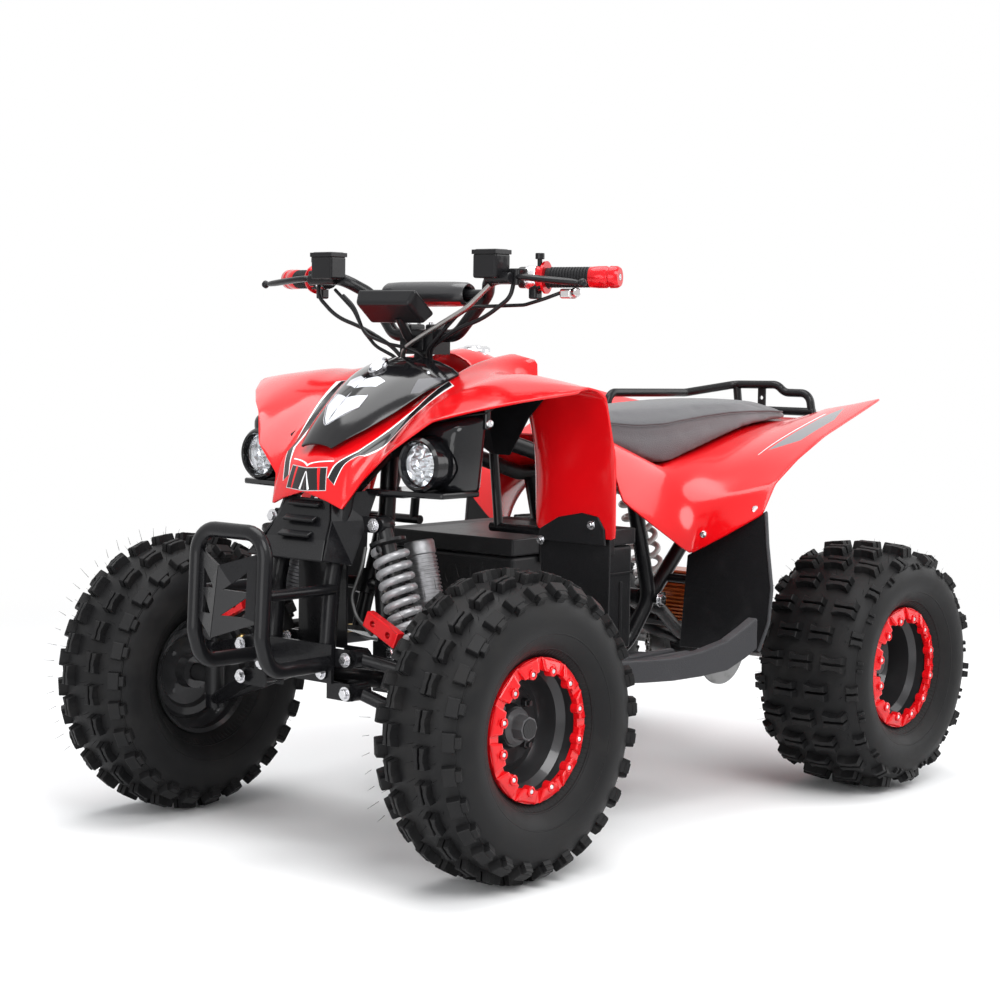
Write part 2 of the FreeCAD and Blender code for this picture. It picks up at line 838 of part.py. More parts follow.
def shock():
    """Left damper: body, rod, spring seats, end eyes and reservoir."""
    top, foot, along = shock_line()
    length = (foot - top).Length
    body = rod(top, top + along * (length * damper_body_share), damper_radius)
    shaft = rod(top, foot, damper_rod_radius)
    seat_radius = spring_radius + spring_seat_margin
    high = top + along * upper_seat_place
    low = foot - along * lower_seat_place
    upper_seat = rod(high, high + along * spring_seat, seat_radius)
    lower_seat = rod(low - along * spring_seat, low, seat_radius)
    eye_axis = vector(1, 0, 0)
    top_eye = disc(top, eye_axis, damper_eye_radius, damper_eye_length)
    foot_eye = disc(foot, eye_axis, damper_eye_radius, damper_eye_length)
    body = joined([body, shaft, upper_seat, lower_seat, top_eye, foot_eye] + reservoir(top, along))
    body = body.cut(disc(top, eye_axis, pivot_pin_radius + running_gap, damper_eye_length * 2))
    return body.cut(disc(foot, eye_axis, damper_pin_radius + running_gap, damper_eye_length * 2))


def coil(start, end, radius, wire_radius, turns):
    """Coil spring between two places."""
    run = end - start
    helix = Part.makeHelix(run.Length / turns, run.Length, radius)
    circle = Part.Circle(vector(radius, 0, 0), vector(0, 1, 0), wire_radius).toShape()
    spring = Part.Wire(helix.Edges).makePipeShell([Part.Wire([circle])], True, True)
    spring.Placement = FreeCAD.Placement(start, FreeCAD.Rotation(vector(0, 0, 1), run))
    return spring


def front_spring():
    top, foot, along = shock_line()
    clear = spring_seat + spring_wire_radius + seat_gap
    start = top + along * (upper_seat_place + clear)
    end = foot - along * (lower_seat_place + clear)
    return coil(start, end, spring_radius, spring_wire_radius, spring_turns)


# Wheels

# Outer skin below the lugs: share of the tyre's radius, share of its half width
tyre_skin_shares = ((0.620, 0.960), (0.735, 0.990), (0.830, 0.915), (0.897, 0.735), (0.932, 0.400))
# Lug rows: place across over the half width, foot over the radius, lean over a right angle, width over the
# half width, length over the radius, height over the radius, start over one pitch
front_lug_shares = ((0.337, 0.935, 0.10, 0.258, 0.149, 0.062, 0.0), (-0.337, 0.935, -0.10, 0.258, 0.149, 0.062, 0.5),
                    (0.762, 0.882, 0.36, 0.244, 0.128, 0.052, 0.5), (-0.762, 0.882, -0.36, 0.244, 0.128, 0.052, 0.0))
rear_lug_shares = ((0.0, 0.937, 0.0, 0.409, 0.132, 0.062, 0.0), (0.569, 0.921, 0.12, 0.409, 0.132, 0.061, 0.0),
                   (-0.569, 0.921, -0.12, 0.409, 0.132, 0.061, 0.0), (0.289, 0.933, 0.05, 0.409, 0.132, 0.062, 0.5),
                   (-0.289, 0.933, -0.05, 0.409, 0.132, 0.062, 0.5), (0.849, 0.868, 0.46, 0.213, 0.123, 0.050, 0.5),
                   (-0.849, 0.868, -0.46, 0.213, 0.123, 0.050, 0.5))
right_angle = 90.0


def lug_row(centre, radius, half, pitches, shares):
    """One row of tread lugs, each a block that leans with the skin that it stands on."""
    place, foot, lean, across, length, height, start = shares
    size = (radius * length, half * across, radius * height + lug_sink)
    lug = block(size, vector(-size[0] / 2, -size[1] / 2, -lug_sink))
    lug.rotate(vector(0, 0, 0), vector(1, 0, 0), -right_angle * lean)
    lug.translate(centre + vector(0, half * place, radius * foot))
    lug = lug.common(disc(centre, vector(0, 1, 0), radius, half * 2))
    lug.rotate(centre, vector(0, 1, 0), 360 * start / pitches)
    return round_the_axle(lug, centre, pitches)


def tyre(centre, radius, width, bead_share, pitches, lug_shares):
    """Tubeless knobbly tyre: open carcass with rounded shoulders and rows of lugs."""
    half = width / 2
    bead = half * bead_share
    outer = [(rim_radius, bead), (rim_radius + tyre_wall, bead + tyre_wall)]
    outer += [(radius * share, half * across) for share, across in tyre_skin_shares]
    inner = [(rim_radius + tyre_wall, bead - tyre_wall / 2)]
    inner += [(radius * share - tyre_wall * share, half * across - tyre_wall)
              for share, across in tyre_skin_shares]
    left = outer + [(r, -place) for r, place in reversed(outer)]
    right = [(r, -place) for r, place in inner] + [(r, place) for r, place in reversed(inner)]
    carcass = revolved(left + right, centre, 1)
    lugs = []
    for shares in lug_shares:
        lugs += lug_row(centre, radius, half, pitches, shares)
    return carcass.fuse(lugs)


def rim(centre, width, bead_share, side, bore):
    """Pressed steel rim: barrel, flanges, dished disc and hub sleeve."""
    bead = width / 2 * bead_share
    skin = rim_skin
    outer = rim_radius - seat_gap
    lip = outer + rim_lip
    well = outer - rim_drop
    flange, back, turn, end = rim_flange_steps
    drop, inner_seat, outer_seat, floor_start, well_start, well_end = rim_well_steps
    hub = hub_length / 2
    profile = [(bore, -hub), (hub_radius, -hub), (hub_radius, -skin * 2), (well, -skin * 2), (well, -bead + floor_start),
               (outer - skin, -bead + inner_seat), (outer - skin, -bead - back), (lip, -bead - end),
               (lip, -bead - turn), (outer, -bead - flange), (outer, -bead + outer_seat),
               (outer - drop, -bead + well_end), (outer - drop, bead - well_end), (outer, bead - outer_seat),
               (outer, bead + flange), (outer - skin, bead + flange), (outer - skin, bead - inner_seat),
               (well, bead - well_start), (well, skin), (hub_radius, skin), (hub_radius, hub), (bore, hub)]
    return revolved(profile, centre, side)


def ring(centre, width, bead_share, side):
    """Bolt-on outer ring of one wheel with its round bosses."""
    bead = width / 2 * bead_share
    seat = bead + ring_seat_place + seat_gap
    start = bead + ring_face_place
    face = start + ring_thickness
    edge = rim_radius - ring_inset
    profile = [(ring_bore_radius, seat), (edge, seat), (edge, start), (ring_radius, start),
               (ring_radius, start + ring_thickness / 2), (ring_radius - ring_chamfer, face), (ring_bore_radius, face)]
    band = revolved(profile, centre, side)
    boss = rod(centre + vector(0, side * seat, ring_boss_place),
               centre + vector(0, side * (face + ring_boss_rise), ring_boss_place), ring_boss_radius)
    bosses = round_the_axle(boss, centre, ring_lobes)
    room = rod(centre + vector(0, side * seat, 0), centre + vector(0, side * start, 0), edge)
    outside = rod(centre + vector(0, side * start, 0), centre + vector(0, side * (face + overrun), 0), ring_radius)
    return band.fuse([shape.common(room.fuse(outside)) for shape in bosses])


def rear_axle():
    """Live rear axle with sprocket, brake disc and their hubs."""
    centre = rear_centre()
    reach = rear_half_track + rear_axle_end
    across = vector(0, 1, 0)
    shaft = rod(vector(0, -reach, centre.z), vector(0, reach, centre.z), rear_axle_radius)
    sprocket = disc(vector(0, chain_line, centre.z), across, sprocket_radius, sprocket_thickness)
    brake = disc(vector(0, -chain_line, centre.z), across, disc_radius, disc_thickness)
    hubs = []
    for side in (-1, 1):
        place = vector(0, side * axle_hub_place, centre.z)
        hubs.append(disc(place, across, axle_hub_radius, axle_hub_length))
    return joined([shaft, sprocket, brake] + hubs)


# Rear drive

motor_shares = (0.045, 0.0, 0.330)
rear_shock_top_shares = (0.235, 0.0, 0.5817)
rear_shock_foot_shares = (0.146, 0.0, 0.335)


def carrier_line(side):
    """Points of one side tube of the rear carrier, from the axle housing to the pivot."""
    centre = rear_centre()
    pivot = spot(carrier_pivot_shares)
    rise = pivot.z - centre.z
    (near_run, near_rise), (far_run, far_rise) = carrier_knee_shares
    inner = side * carrier_inner
    outer = side * carrier_outer
    return [vector(0, inner, centre.z), vector(pivot.x * near_run, inner, centre.z + rise * near_rise),
            vector(pivot.x * far_run, outer, centre.z + rise * far_rise), vector(pivot.x, outer, pivot.z)]


def motor_saddle(side):
    """Upright plate between one side tube and the motor."""
    drum = spot(motor_shares)
    axle = rear_centre().z
    rise = drum.z - axle
    face = side * carrier_inner - saddle_plate / 2
    low_rear, low_front = saddle_foot_shares
    rear = drum.x - saddle_half
    front = drum.x + saddle_half
    outline = [vector(rear, face, axle + rise * low_rear), vector(front, face, axle + rise * low_front),
               vector(front, face, drum.z), vector(rear, face, drum.z)]
    return plate(outline, vector(0, saddle_plate, 0))


def damper_horn(side, yoke):
    """Plate that holds one end of the lower damper pin above the yoke."""
    mount = spot(rear_shock_foot_shares)
    face = side * horn_spread - horn_plate / 2
    outline = [vector(yoke.x - horn_half_root, face, yoke.z), vector(yoke.x + horn_half_root, face, yoke.z),
               vector(mount.x + horn_half_tip, face, mount.z + horn_tip),
               vector(mount.x - horn_half_tip, face, mount.z + horn_tip)]
    return plate(outline, vector(0, horn_plate, 0))


def rear_carrier():
    """Swinging arm with the axle housing, the motor cradle and the damper plates."""
    centre = rear_centre()
    axle = vector(0, 0, centre.z)
    pivot = spot((carrier_pivot_shares[0], 0.0, carrier_pivot_shares[2]))
    drum = spot(motor_shares)
    across = vector(0, 1, 0)
    housing_length = 2 * (axle_hub_place - axle_hub_length / 2 - carrier_housing_gap)
    pivot_length = 2 * (layout_width * carrier_pivot_shares[1] - frame_tube_radius - carrier_side_gap)
    pieces = [disc(axle, across, carrier_housing_radius, housing_length),
              disc(pivot, across, carrier_pivot_radius, pivot_length)]
    near, far = carrier_line(1)[1:3]
    yoke = near + (far - near) * yoke_share
    yoke_side = yoke.y
    yoke.y = 0
    for side in (-1, 1):
        pieces.append(tube(carrier_line(side), carrier_tube_radius, frame_bend_radius))
        pieces.append(motor_saddle(side))
        pieces.append(damper_horn(side, yoke))
    pieces.append(disc(yoke, across, yoke_radius, 2 * (yoke_side + yoke_end)))
    pieces.append(disc(spot(rear_shock_foot_shares), across, mount_pin_radius, mount_pin_length))
    body = pieces[0].fuse(pieces[1:])
    body = body.cut(disc(drum, across, motor_radius + seat_gap, layout_width))
    body = body.cut(disc(axle, across, rear_axle_radius + running_gap, layout_width))
    return body.cut(disc(pivot, across, carrier_pin_radius + running_gap, layout_width))


def motor():
    """Drive motor with fins along its length, its shaft and small sprocket."""
    centre = spot(motor_shares)
    across = vector(0, 1, 0)
    fins = []
    for index in range(motor_fins):
        height = motor_fin_pitch * (index - motor_fins // 2) - motor_fin / 2
        low = centre + vector(-motor_radius, -motor_length / 2, height)
        fins.append(block((motor_radius * 2, motor_length, motor_fin), low))
    ribs = Part.makeCompound(fins).common(disc(centre, across, motor_radius, motor_length))
    drum = joined([disc(centre, across, motor_core_radius, motor_length)] + ribs.Solids)
    end = vector(centre.x, chain_line - sprocket_thickness / 2, centre.z)
    shaft = rod(centre, end, motor_shaft_radius)
    sprocket = rod(end, end + vector(0, sprocket_thickness, 0), motor_sprocket_radius)
    return joined([drum, shaft, sprocket])


def rear_shock():
    """Rear damper with its eyes and spring seats, and its coil spring."""
    top = spot(rear_shock_top_shares)
    foot = spot(rear_shock_foot_shares)
    along = (foot - top).normalize()
    across = vector(0, 1, 0)
    length = (foot - top).Length
    body = rod(top, top + along * (length * rear_damper_share), damper_radius)
    shaft = rod(top, foot, damper_rod_radius)
    high = top + along * rear_seat_place
    low = foot - along * rear_seat_place
    seats = [rod(high, high + along * spring_seat, rear_seat_radius),
             rod(low - along * spring_seat, low, rear_seat_radius)]
    eyes = [disc(top, across, rear_eye_radius, rear_eye_length),
            disc(foot, across, rear_foot_eye_radius, rear_eye_length)]
    damper = joined([body, shaft] + seats + eyes)
    damper = damper.cut(disc(top, across, brace_tube_radius + running_gap, rear_eye_length * 2))
    damper = damper.cut(disc(foot, across, mount_pin_radius + running_gap, rear_eye_length * 2))
    clear = spring_seat + rear_spring_wire_radius + seat_gap
    spring = coil(high + along * clear, low - along * clear, rear_spring_radius, rear_spring_wire_radius,
                  rear_spring_turns)
    return Part.makeCompound([damper, spring])


def belt_tangents(big, small, big_radius, small_radius):
    """Ends of both straight runs of a taut loop round two circles in the XZ plane."""
    run = small - big
    lean = math.acos((big_radius - small_radius) / run.Length)
    base = math.atan2(run.z, run.x)
    points = []
    for centre, radius, angle in ((big, big_radius, base + lean), (small, small_radius, base + lean),
                                  (small, small_radius, base - lean), (big, big_radius, base - lean)):
        points.append(centre + vector(radius * math.cos(angle), 0, radius * math.sin(angle)))
    return points


def belt_wire(big, small, big_radius, small_radius):
    """Closed taut loop round two circles in the XZ plane."""
    points = belt_tangents(big, small, big_radius, small_radius)
    run = small - big
    far = big - run * (big_radius / run.Length)
    near = small + run * (small_radius / run.Length)
    return Part.Wire([Part.LineSegment(points[0], points[1]).toShape(), Part.Arc(points[1], near, points[2]).toShape(),
                      Part.LineSegment(points[2], points[3]).toShape(), Part.Arc(points[3], far, points[0]).toShape()])


def chain():
    """Drive chain as one closed loop: two rows of side plates joined by the rollers between them."""
    big = vector(0, chain_line - chain_width / 2, rear_tyre_radius)
    small = spot(motor_shares)
    small.y = big.y
    inner = Part.Face(belt_wire(big, small, sprocket_radius + chain_lift, motor_sprocket_radius + chain_lift))
    outer = Part.Face(belt_wire(big, small, sprocket_radius + chain_height, motor_sprocket_radius + chain_height))
    band = outer.cut(inner)
    row = band.extrude(vector(0, chain_side, 0))
    other = row.copy()
    other.translate(vector(0, chain_width - chain_side, 0))
    reach = seat_gap + roller_radius
    middle = belt_wire(big, small, sprocket_radius + reach, motor_sprocket_radius + reach)
    rollers = []
    for place in middle.discretize(int(middle.Length / chain_pitch) + 1)[:-1]:
        rollers.append(rod(place, place + vector(0, chain_width, 0), roller_radius))
    return row.fuse([other] + rollers)


# Fairings, lamps, seat and trim

wing_shares = (
    (0.000, ((1.095, 0.587), (1.093, 0.615), (1.090, 0.630), (1.045, 0.664), (1.000, 0.706),
             (0.960, 0.730), (0.925, 0.746))),
    (0.050, ((1.091, 0.575), (1.082, 0.612), (1.073, 0.632), (1.000, 0.682), (0.950, 0.716),
             (0.915, 0.736), (0.880, 0.750))),
    (0.081, ((1.087, 0.564), (1.078, 0.600), (1.066, 0.636), (0.990, 0.680), (0.930, 0.718),
             (0.890, 0.738), (0.850, 0.756))),
    (0.100, ((1.061, 0.609), (1.030, 0.640), (0.990, 0.675), (0.920, 0.736), (0.860, 0.765),
             (0.790, 0.795), (0.700, 0.808))),
    (0.150, ((1.054, 0.655), (1.020, 0.688), (0.960, 0.728), (0.880, 0.766), (0.800, 0.792),
             (0.740, 0.800), (0.690, 0.796))),
    (0.200, ((1.009, 0.705), (0.960, 0.732), (0.880, 0.766), (0.800, 0.784), (0.755, 0.765),
             (0.745, 0.640), (0.745, 0.520))),
    (0.250, ((0.970, 0.721), (0.930, 0.742), (0.870, 0.766), (0.805, 0.776), (0.762, 0.758),
             (0.745, 0.640), (0.745, 0.516))),
    (0.310, ((0.915, 0.738), (0.890, 0.752), (0.850, 0.764), (0.805, 0.766), (0.768, 0.750),
             (0.745, 0.640), (0.745, 0.512))),
    (0.365, ((0.850, 0.752), (0.840, 0.757), (0.820, 0.760), (0.800, 0.756), (0.782, 0.740),
             (0.745, 0.640), (0.745, 0.510))),
)


def front_fender():
    """Nose, wings and rear walls of the front body as one thin moulding."""
    return shell_across(wing_shares, panel)


spine_shares = ((1.080, 0.040, 0.652, 0.645), (1.000, 0.070, 0.734, 0.692), (0.920, 0.096, 0.782, 0.742),
              (0.850, 0.110, 0.800, 0.775))


def nose_panel():
    """Gloss centre panel over the nose."""
    sections = []
    swell = vector(0, 0, hood_swell)
    for x_share, edge, crown, side in spine_shares:
        shoulder = (crown + side) / 2
        top = [spot((x_share, -edge, side)), spot((x_share, -edge / 2, shoulder)) + swell,
               spot((x_share, 0.0, crown)), spot((x_share, edge / 2, shoulder)) + swell,
               spot((x_share, edge, side))]
        low = [point - vector(0, 0, panel) for point in reversed(top)]
        sections.append(top + low)
    pegs = []
    bar = stem_place(bush_height_shares[0])
    for side in (-1, 1):
        foot = vector(bar.x, side * hood_peg_side, bar.z + brace_tube_radius + seat_gap)
        pegs.append(rod(foot, vector(foot.x, foot.y, layout_height * hood_peg_height_share), hood_peg_radius))
    return joined([loft(sections, True)] + pegs)


flap_outline_shares = ((0.200, 0.600), (0.352, 0.600), (0.350, 0.322), (0.235, 0.300))


def fender_flaps():
    """Black flaps below the walls of the front fender."""
    outline = [spot((flap_face_share, y_share, z_share)) for y_share, z_share in flap_outline_shares]
    return both_sides(plate(outline, vector(-flap, 0, 0)))


lamp_shares = (1.015, 0.185, 0.634)


def lamp_pod(corner):
    """Tray with its back and outer cheek, open towards the front; the outer edge tapers back."""
    long, wide, thick = lamp_tray_size
    outline = [corner, corner + vector(long, 0, 0), corner + vector(long, wide / 2, 0),
               corner + vector(long - lamp_taper, wide, 0), corner + vector(0, wide, 0)]
    tray = plate(outline, vector(0, 0, thick))
    cheek = block(lamp_cheek_size, corner + vector(0, wide - lamp_cheek_size[1], 0))
    return [tray, cheek, block(lamp_back_size, corner)]


def lamp_housings():
    """Round lamp bowls with their rims, each in its pod under a wing."""
    centre = spot(lamp_shares)
    axis = vector(1, 0, 0)
    back = centre - vector(lamp_rim_half + lamp_depth - lamp_seam, 0, 0)
    bowl = Part.makeCone(lamp_back_radius, lamp_radius, lamp_depth, back, axis)
    front_ring = Part.makeCylinder(lamp_radius, lamp_rim, centre - vector(lamp_rim_half, 0, 0), axis)
    bore = Part.makeCylinder(lamp_bore_radius, lamp_bore_length, centre - vector(lamp_bore_depth, 0, 0), axis)
    shell = bowl.fuse([front_ring] + lamp_pod(centre + vector(*lamp_tray_corner))).cut(bore)
    return both_sides(shell)


def lamp_lenses():
    centre = spot(lamp_shares)
    face = centre - vector(lamp_lens_place, 0, 0)
    return both_sides(Part.makeCylinder(lamp_bore_radius - seat_gap, lamp_lens, face, vector(1, 0, 0)))


tank_shares = ((0.758, 0.076, 0.808, 0.762), (0.710, 0.096, 0.818, 0.752), (0.660, 0.104, 0.800, 0.736),
             (0.590, 0.108, 0.768, 0.716), (0.480, 0.104, 0.722, 0.690))


tank_shoulder_share = 0.6


def tank_cover():
    """Arched cover between the column and the saddle."""
    sections = []
    for x_share, edge, crown, side in tank_shares:
        shoulder = edge * tank_shoulder_share
        top = [spot((x_share, -edge, side)), spot((x_share, -shoulder, crown)),
               spot((x_share, 0.0, crown)) + vector(0, 0, tank_swell), spot((x_share, shoulder, crown)),
               spot((x_share, edge, side))]
        low = [point - vector(0, 0, panel) for point in reversed(top)]
        sections.append(top + low)
    return loft(sections, True)


pan_shares = ((0.470, 0.660), (0.300, 0.600), (0.160, 0.630), (0.020, 0.668), (-0.120, 0.676), (-0.200, 0.680))
tail_shares = (
    (0.000, pan_shares),
    (0.130, pan_shares),
    (0.150, ((0.445, 0.548), (0.300, 0.590), (0.160, 0.632), (0.020, 0.670), (-0.100, 0.682), (-0.160, 0.688))),
    (0.220, ((0.330, 0.452), (0.300, 0.540), (0.235, 0.608), (0.120, 0.650), (-0.030, 0.690), (-0.110, 0.704))),
    (0.290, ((0.318, 0.490), (0.285, 0.560), (0.215, 0.612), (0.110, 0.656), (-0.030, 0.698), (-0.100, 0.716))),
    (0.350, ((0.300, 0.530), (0.262, 0.582), (0.190, 0.624), (0.100, 0.664), (-0.020, 0.704), (-0.091, 0.728))),
)


def rear_fender():
    """Rear body moulding: seat pan, sides and both tails."""
    return shell_across(tail_shares, panel)


tail_flap_shares = ((0.170, 0.440), (0.360, 0.520), (0.385, 0.400), (0.350, 0.275), (0.180, 0.265))


def tail_flaps():
    outline = [spot((tail_face_share, y_share, z_share)) for y_share, z_share in tail_flap_shares]
    return both_sides(plate(outline, vector(-flap, 0, 0)))


seat_shares = ((0.470, 0.070, 0.704, 0.660), (0.300, 0.124, 0.708, 0.600), (0.160, 0.128, 0.712, 0.630),
             (0.020, 0.128, 0.714, 0.668), (-0.120, 0.112, 0.711, 0.676), (-0.175, 0.080, 0.702, 0.679))
seat_top_share = 0.94


def seat():
    """Soft saddle on the pan."""
    sections = []
    lift = vector(0, 0, seat_gap)
    drop = vector(0, 0, seat_shoulder)
    for x_share, edge, crown, base in seat_shares:
        top = edge * seat_top_share
        sections.append([spot((x_share, -edge, base)) + lift, spot((x_share, -top, crown)) - drop,
                         spot((x_share, 0.0, crown)), spot((x_share, top, crown)) - drop,
                         spot((x_share, edge, base)) + lift])
    return loft(sections, True)


battery_rear_share = 0.415


def battery_box():
    """Battery case with its lid, resting on the lower rails."""
    floor = spot(lower_rail_shares[1]).z + frame_tube_radius + seat_gap
    low = vector(layout_length * battery_rear_share, -battery_width / 2, floor)
    case = block((battery_length, battery_width, battery_height), low)
    lip = battery_lid_lip
    lid_size = (battery_length + 2 * lip, battery_width + 2 * lip, battery_lid)
    return joined([case, block(lid_size, low + vector(-lip, -lip, battery_height))])


rack_path_shares = ((0.118, -0.165, 0.6498), (0.085, -0.165, 0.727), (-0.165, -0.160, 0.724),
                    (-0.262, -0.100, 0.742), (-0.262, 0.006, 0.744), (-0.266, 0.022, 0.728),
                    (-0.266, 0.082, 0.728), (-0.264, 0.098, 0.650))
rack_rail_shares = ((-0.264, 0.096, 0.690), (-0.262, -0.090, 0.690))
rack_stay_shares = ((-0.262, -0.090, 0.690), (-0.262, -0.096, 0.740))
strap_shares = (-0.262, -0.032, 0.742)
strap_height_share = 0.052


def rack_leg(side):
    """Place and direction where one leg of the rack meets the end of the frame."""
    before, end = spots(upper_rail_shares)[-2:]
    along = (end - before).normalize()
    start = end + along * seat_gap
    return vector(start.x, side * start.y, start.z), vector(along.x, side * along.y, along.z)


def rear_rack():
    """Bent rack tube with its legs, lower bar and drilled strap."""
    foot, along = rack_leg(1)
    right_foot, right_along = rack_leg(-1)
    top = spots(rack_path_shares) + [foot + along * rack_leg_length, foot]
    low = spots(rack_rail_shares) + [right_foot + right_along * rack_leg_length, right_foot]
    hoop = tube(top, rack_tube_radius, rack_bend_radius)
    rail = tube(low, rack_tube_radius, rack_bend_radius)
    stay = rod(*spots(rack_stay_shares), rack_tube_radius)
    strap_top = spot(strap_shares)
    thick, wide = strap_size
    tall = layout_height * strap_height_share
    strap = block((thick, wide, tall), strap_top - vector(thick / 2, wide / 2, tall))
    body = joined([hoop, rail, strap, stay])
    bore = strap_top - vector(0, 0, strap_bore_drop)
    return body.cut(disc(bore, vector(1, 0, 0), strap_bore_radius, overrun * 2))


bumper_path_shares = ((1.250, 0.000, 0.534), (1.250, 0.078, 0.530), (1.258, 0.078, 0.365),
                      (1.242, 0.078, 0.315), (1.1193, 0.078, 0.315))
bumper_fold_shares = ((0.000, ((1.276, 0.478), (1.292, 0.366))), (0.068, ((1.254, 0.498), (1.258, 0.394))))


bumper_window_shares = ((0.16, 0.38), (0.52, 0.80))
bumper_window_side_shares = (0.30, 0.72)
stay_front_share = 1.254


def bumper_windows():
    """Tools that pierce the left half of the folded plate from front to back."""
    (inner_side, inner_rows), (outer_side, outer_rows) = bumper_fold_shares
    rear = layout_length * outer_rows[0][0] - overrun
    front = layout_length * inner_rows[1][0] + overrun
    tools = []
    for window in bumper_window_shares:
        edges = []
        for across in bumper_window_side_shares:
            side = inner_side + (outer_side - inner_side) * across
            top, foot = [z_in + (z_out - z_in) * across for (_, z_in), (_, z_out) in zip(inner_rows, outer_rows)]
            places = [spot((0.0, side, top + (foot - top) * share)) for share in window]
            edges.append([vector(rear, place.y, place.z) for place in places])
        tools.append(plate(edges[0] + edges[1][::-1], vector(front - rear, 0, 0)))
    return tools


def front_bumper():
    """Hoop of one tube with its folded and pierced centre plate."""
    half = spots(bumper_path_shares)
    whole = [vector(p.x, -p.y, p.z) for p in reversed(half[1:])] + half[1:]
    hoop = tube(whole, bumper_tube_radius, bumper_bend_radius)
    stays = []
    root = stay_root_share * layout_length + stud_length + seat_gap
    for side in (-1, 1):
        end = spot((stay_front_share, side * stay_side_share, brace_share))
        stays.append(rod(vector(root, end.y, end.z), end, stud_radius))
    windows = bumper_windows()
    folded = shell_across(bumper_fold_shares, -flap).cut(windows + [mirrored(tool) for tool in windows])
    return joined([hoop, folded] + stays)


def shield_plate():
    """Sloping shield in front of the uprights, with slots across it."""
    upper, lower = spots(shield_edge_shares)
    normal = shield_normal()
    outline = [vector(upper.x, -upper.y, upper.z), upper, lower, vector(lower.x, -lower.y, lower.z)]
    slots = []
    down = (lower - upper).normalize()
    for share in shield_slot_shares:
        middle = upper + (lower - upper) * share
        half = middle.y * shield_slot_side_share
        start = middle - down * (shield_slot / 2) + normal * overrun
        end = start + down * shield_slot
        corners = [vector(start.x, -half, start.z), vector(start.x, half, start.z),
                   vector(end.x, half, end.z), vector(end.x, -half, end.z)]
        slots.append(plate(corners, normal * (-2 * overrun)))
    return plate(outline, normal * -flap).cut(slots)


footrest_shares = ((0.690, 0.330, 0.262, 0.300), (0.560, 0.358, 0.256, 0.296), (0.440, 0.384, 0.262, 0.312),
                   (0.372, 0.398, 0.296, 0.352))
footrest_bar_shares = (((0.640, 0.1143, 0.262), (0.640, 0.330, 0.280)), ((0.440, 0.1143, 0.262), (0.440, 0.372, 0.280)))


def footrests():
    """Outer rails, swept up at the rear, with the bars that carry them."""
    sections = []
    inward = vector(0, -footrest_wall, 0)
    for x_share, y_share, low, high in footrest_shares:
        bottom = spot((x_share, y_share, low))
        top = spot((x_share, y_share, high))
        sections.append([bottom, top, top + inward, bottom + inward])
    pieces = [loft(sections, True)]
    for ends in footrest_bar_shares:
        pieces.append(rod(*spots(ends), footrest_bar_radius))
    return both_sides(joined(pieces))


def wheel_parts():
    front = front_centre()
    rear = rear_centre()
    width = front_tyre_width
    bead = front_bead_share
    front_tyre = tyre(front, front_tyre_radius, width, bead, front_pitches, front_lug_shares)
    front_rim = rim(front, width, bead, 1, spindle_radius + running_gap)
    front_ring = ring(front, width, bead, 1)
    rear_tyre = tyre(rear, rear_tyre_radius, rear_tyre_width, rear_bead_share, rear_pitches, rear_lug_shares)
    pieces = {}
    for name, mirror_it in (("left", False), ("right", True)):
        shapes = {
            "front_tyre_" + name: front_tyre,
            "front_rim_" + name: front_rim,
            "front_ring_" + name: front_ring,
            "rear_tyre_" + name: rear_tyre,
        }
        for key, shape in shapes.items():
            pieces[key] = mirrored(shape) if mirror_it else shape
    rear_bore = rear_axle_radius + seat_gap
    pieces["rear_rims"] = both_sides(rim(rear, rear_tyre_width, rear_bead_share, 1, rear_bore))
    pieces["rear_rings"] = both_sides(ring(rear, rear_tyre_width, rear_bead_share, 1))
    return pieces


def steered_parts():
    pieces = {}
    for name, mirror_it in (("left", False), ("right", True)):
        for key, shape in (("knuckle_", knuckle()), ("tie_rod_", tie_rod())):
            pieces[key + name] = mirrored(shape) if mirror_it else shape
    return pieces


def all_parts():
    front_frame, middle_frame, rear_frame = frame_sections()
    parts = {
        "front_frame": front_frame,
        "frame": middle_frame,
        "rear_frame": rear_frame,
        "handlebar": handlebar(),
        "grips": grips(),
        "bar_pad": bar_pad(),
        "display": display(),
        "brake_controls": brake_controls(),
        "cables": cables(),
        "control_arms": control_arms(),
        "front_shocks": both_sides(shock()),
        "front_springs": both_sides(front_spring()),
        "rear_axle": rear_axle(),
        "rear_carrier": rear_carrier(),
        "motor": motor(),
        "rear_shock": rear_shock(),
        "front_fender": front_fender(),
        "nose_panel": nose_panel(),
        "fender_flaps": fender_flaps(),
        "lamp_housings": lamp_housings(),
        "lamp_lenses": lamp_lenses(),
        "tank_cover": tank_cover(),
        "rear_fender": rear_fender(),
        "tail_flaps": tail_flaps(),
        "seat": seat(),
        "battery_box": battery_box(),
        "rear_rack": rear_rack(),
        "front_bumper": front_bumper(),
        "shield_plate": shield_plate(),
        "footrests": footrests(),
        "chain": chain(),
    }
    parts.update(wheel_parts())
    parts.update(steered_parts())
    return parts


def write_parts(parts):
    """Move the bike to the bottom centre of its box and write one file a piece."""
    box = Part.makeCompound(list(parts.values())).BoundBox
    shift = vector(-box.Center.x, -box.Center.y, -box.ZMin)
    os.makedirs("parts", exist_ok=True)
    for name, shape in parts.items():
        shape.translate(shift)
        shape.exportStep("parts/" + name + ".step")
    print("shift", round(shift.x, 3), round(shift.y, 3), round(shift.z, 3))


if __name__ == "__main__":
    write_parts(all_parts())
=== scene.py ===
"""Sport quad bike with an electric drive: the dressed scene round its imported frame."""

from __future__ import annotations

import logging
import math
from dataclasses import dataclass
from enum import Enum
from typing import Callable, Iterable, Sequence

import bmesh
import bpy
from mathutils import Matrix, Vector


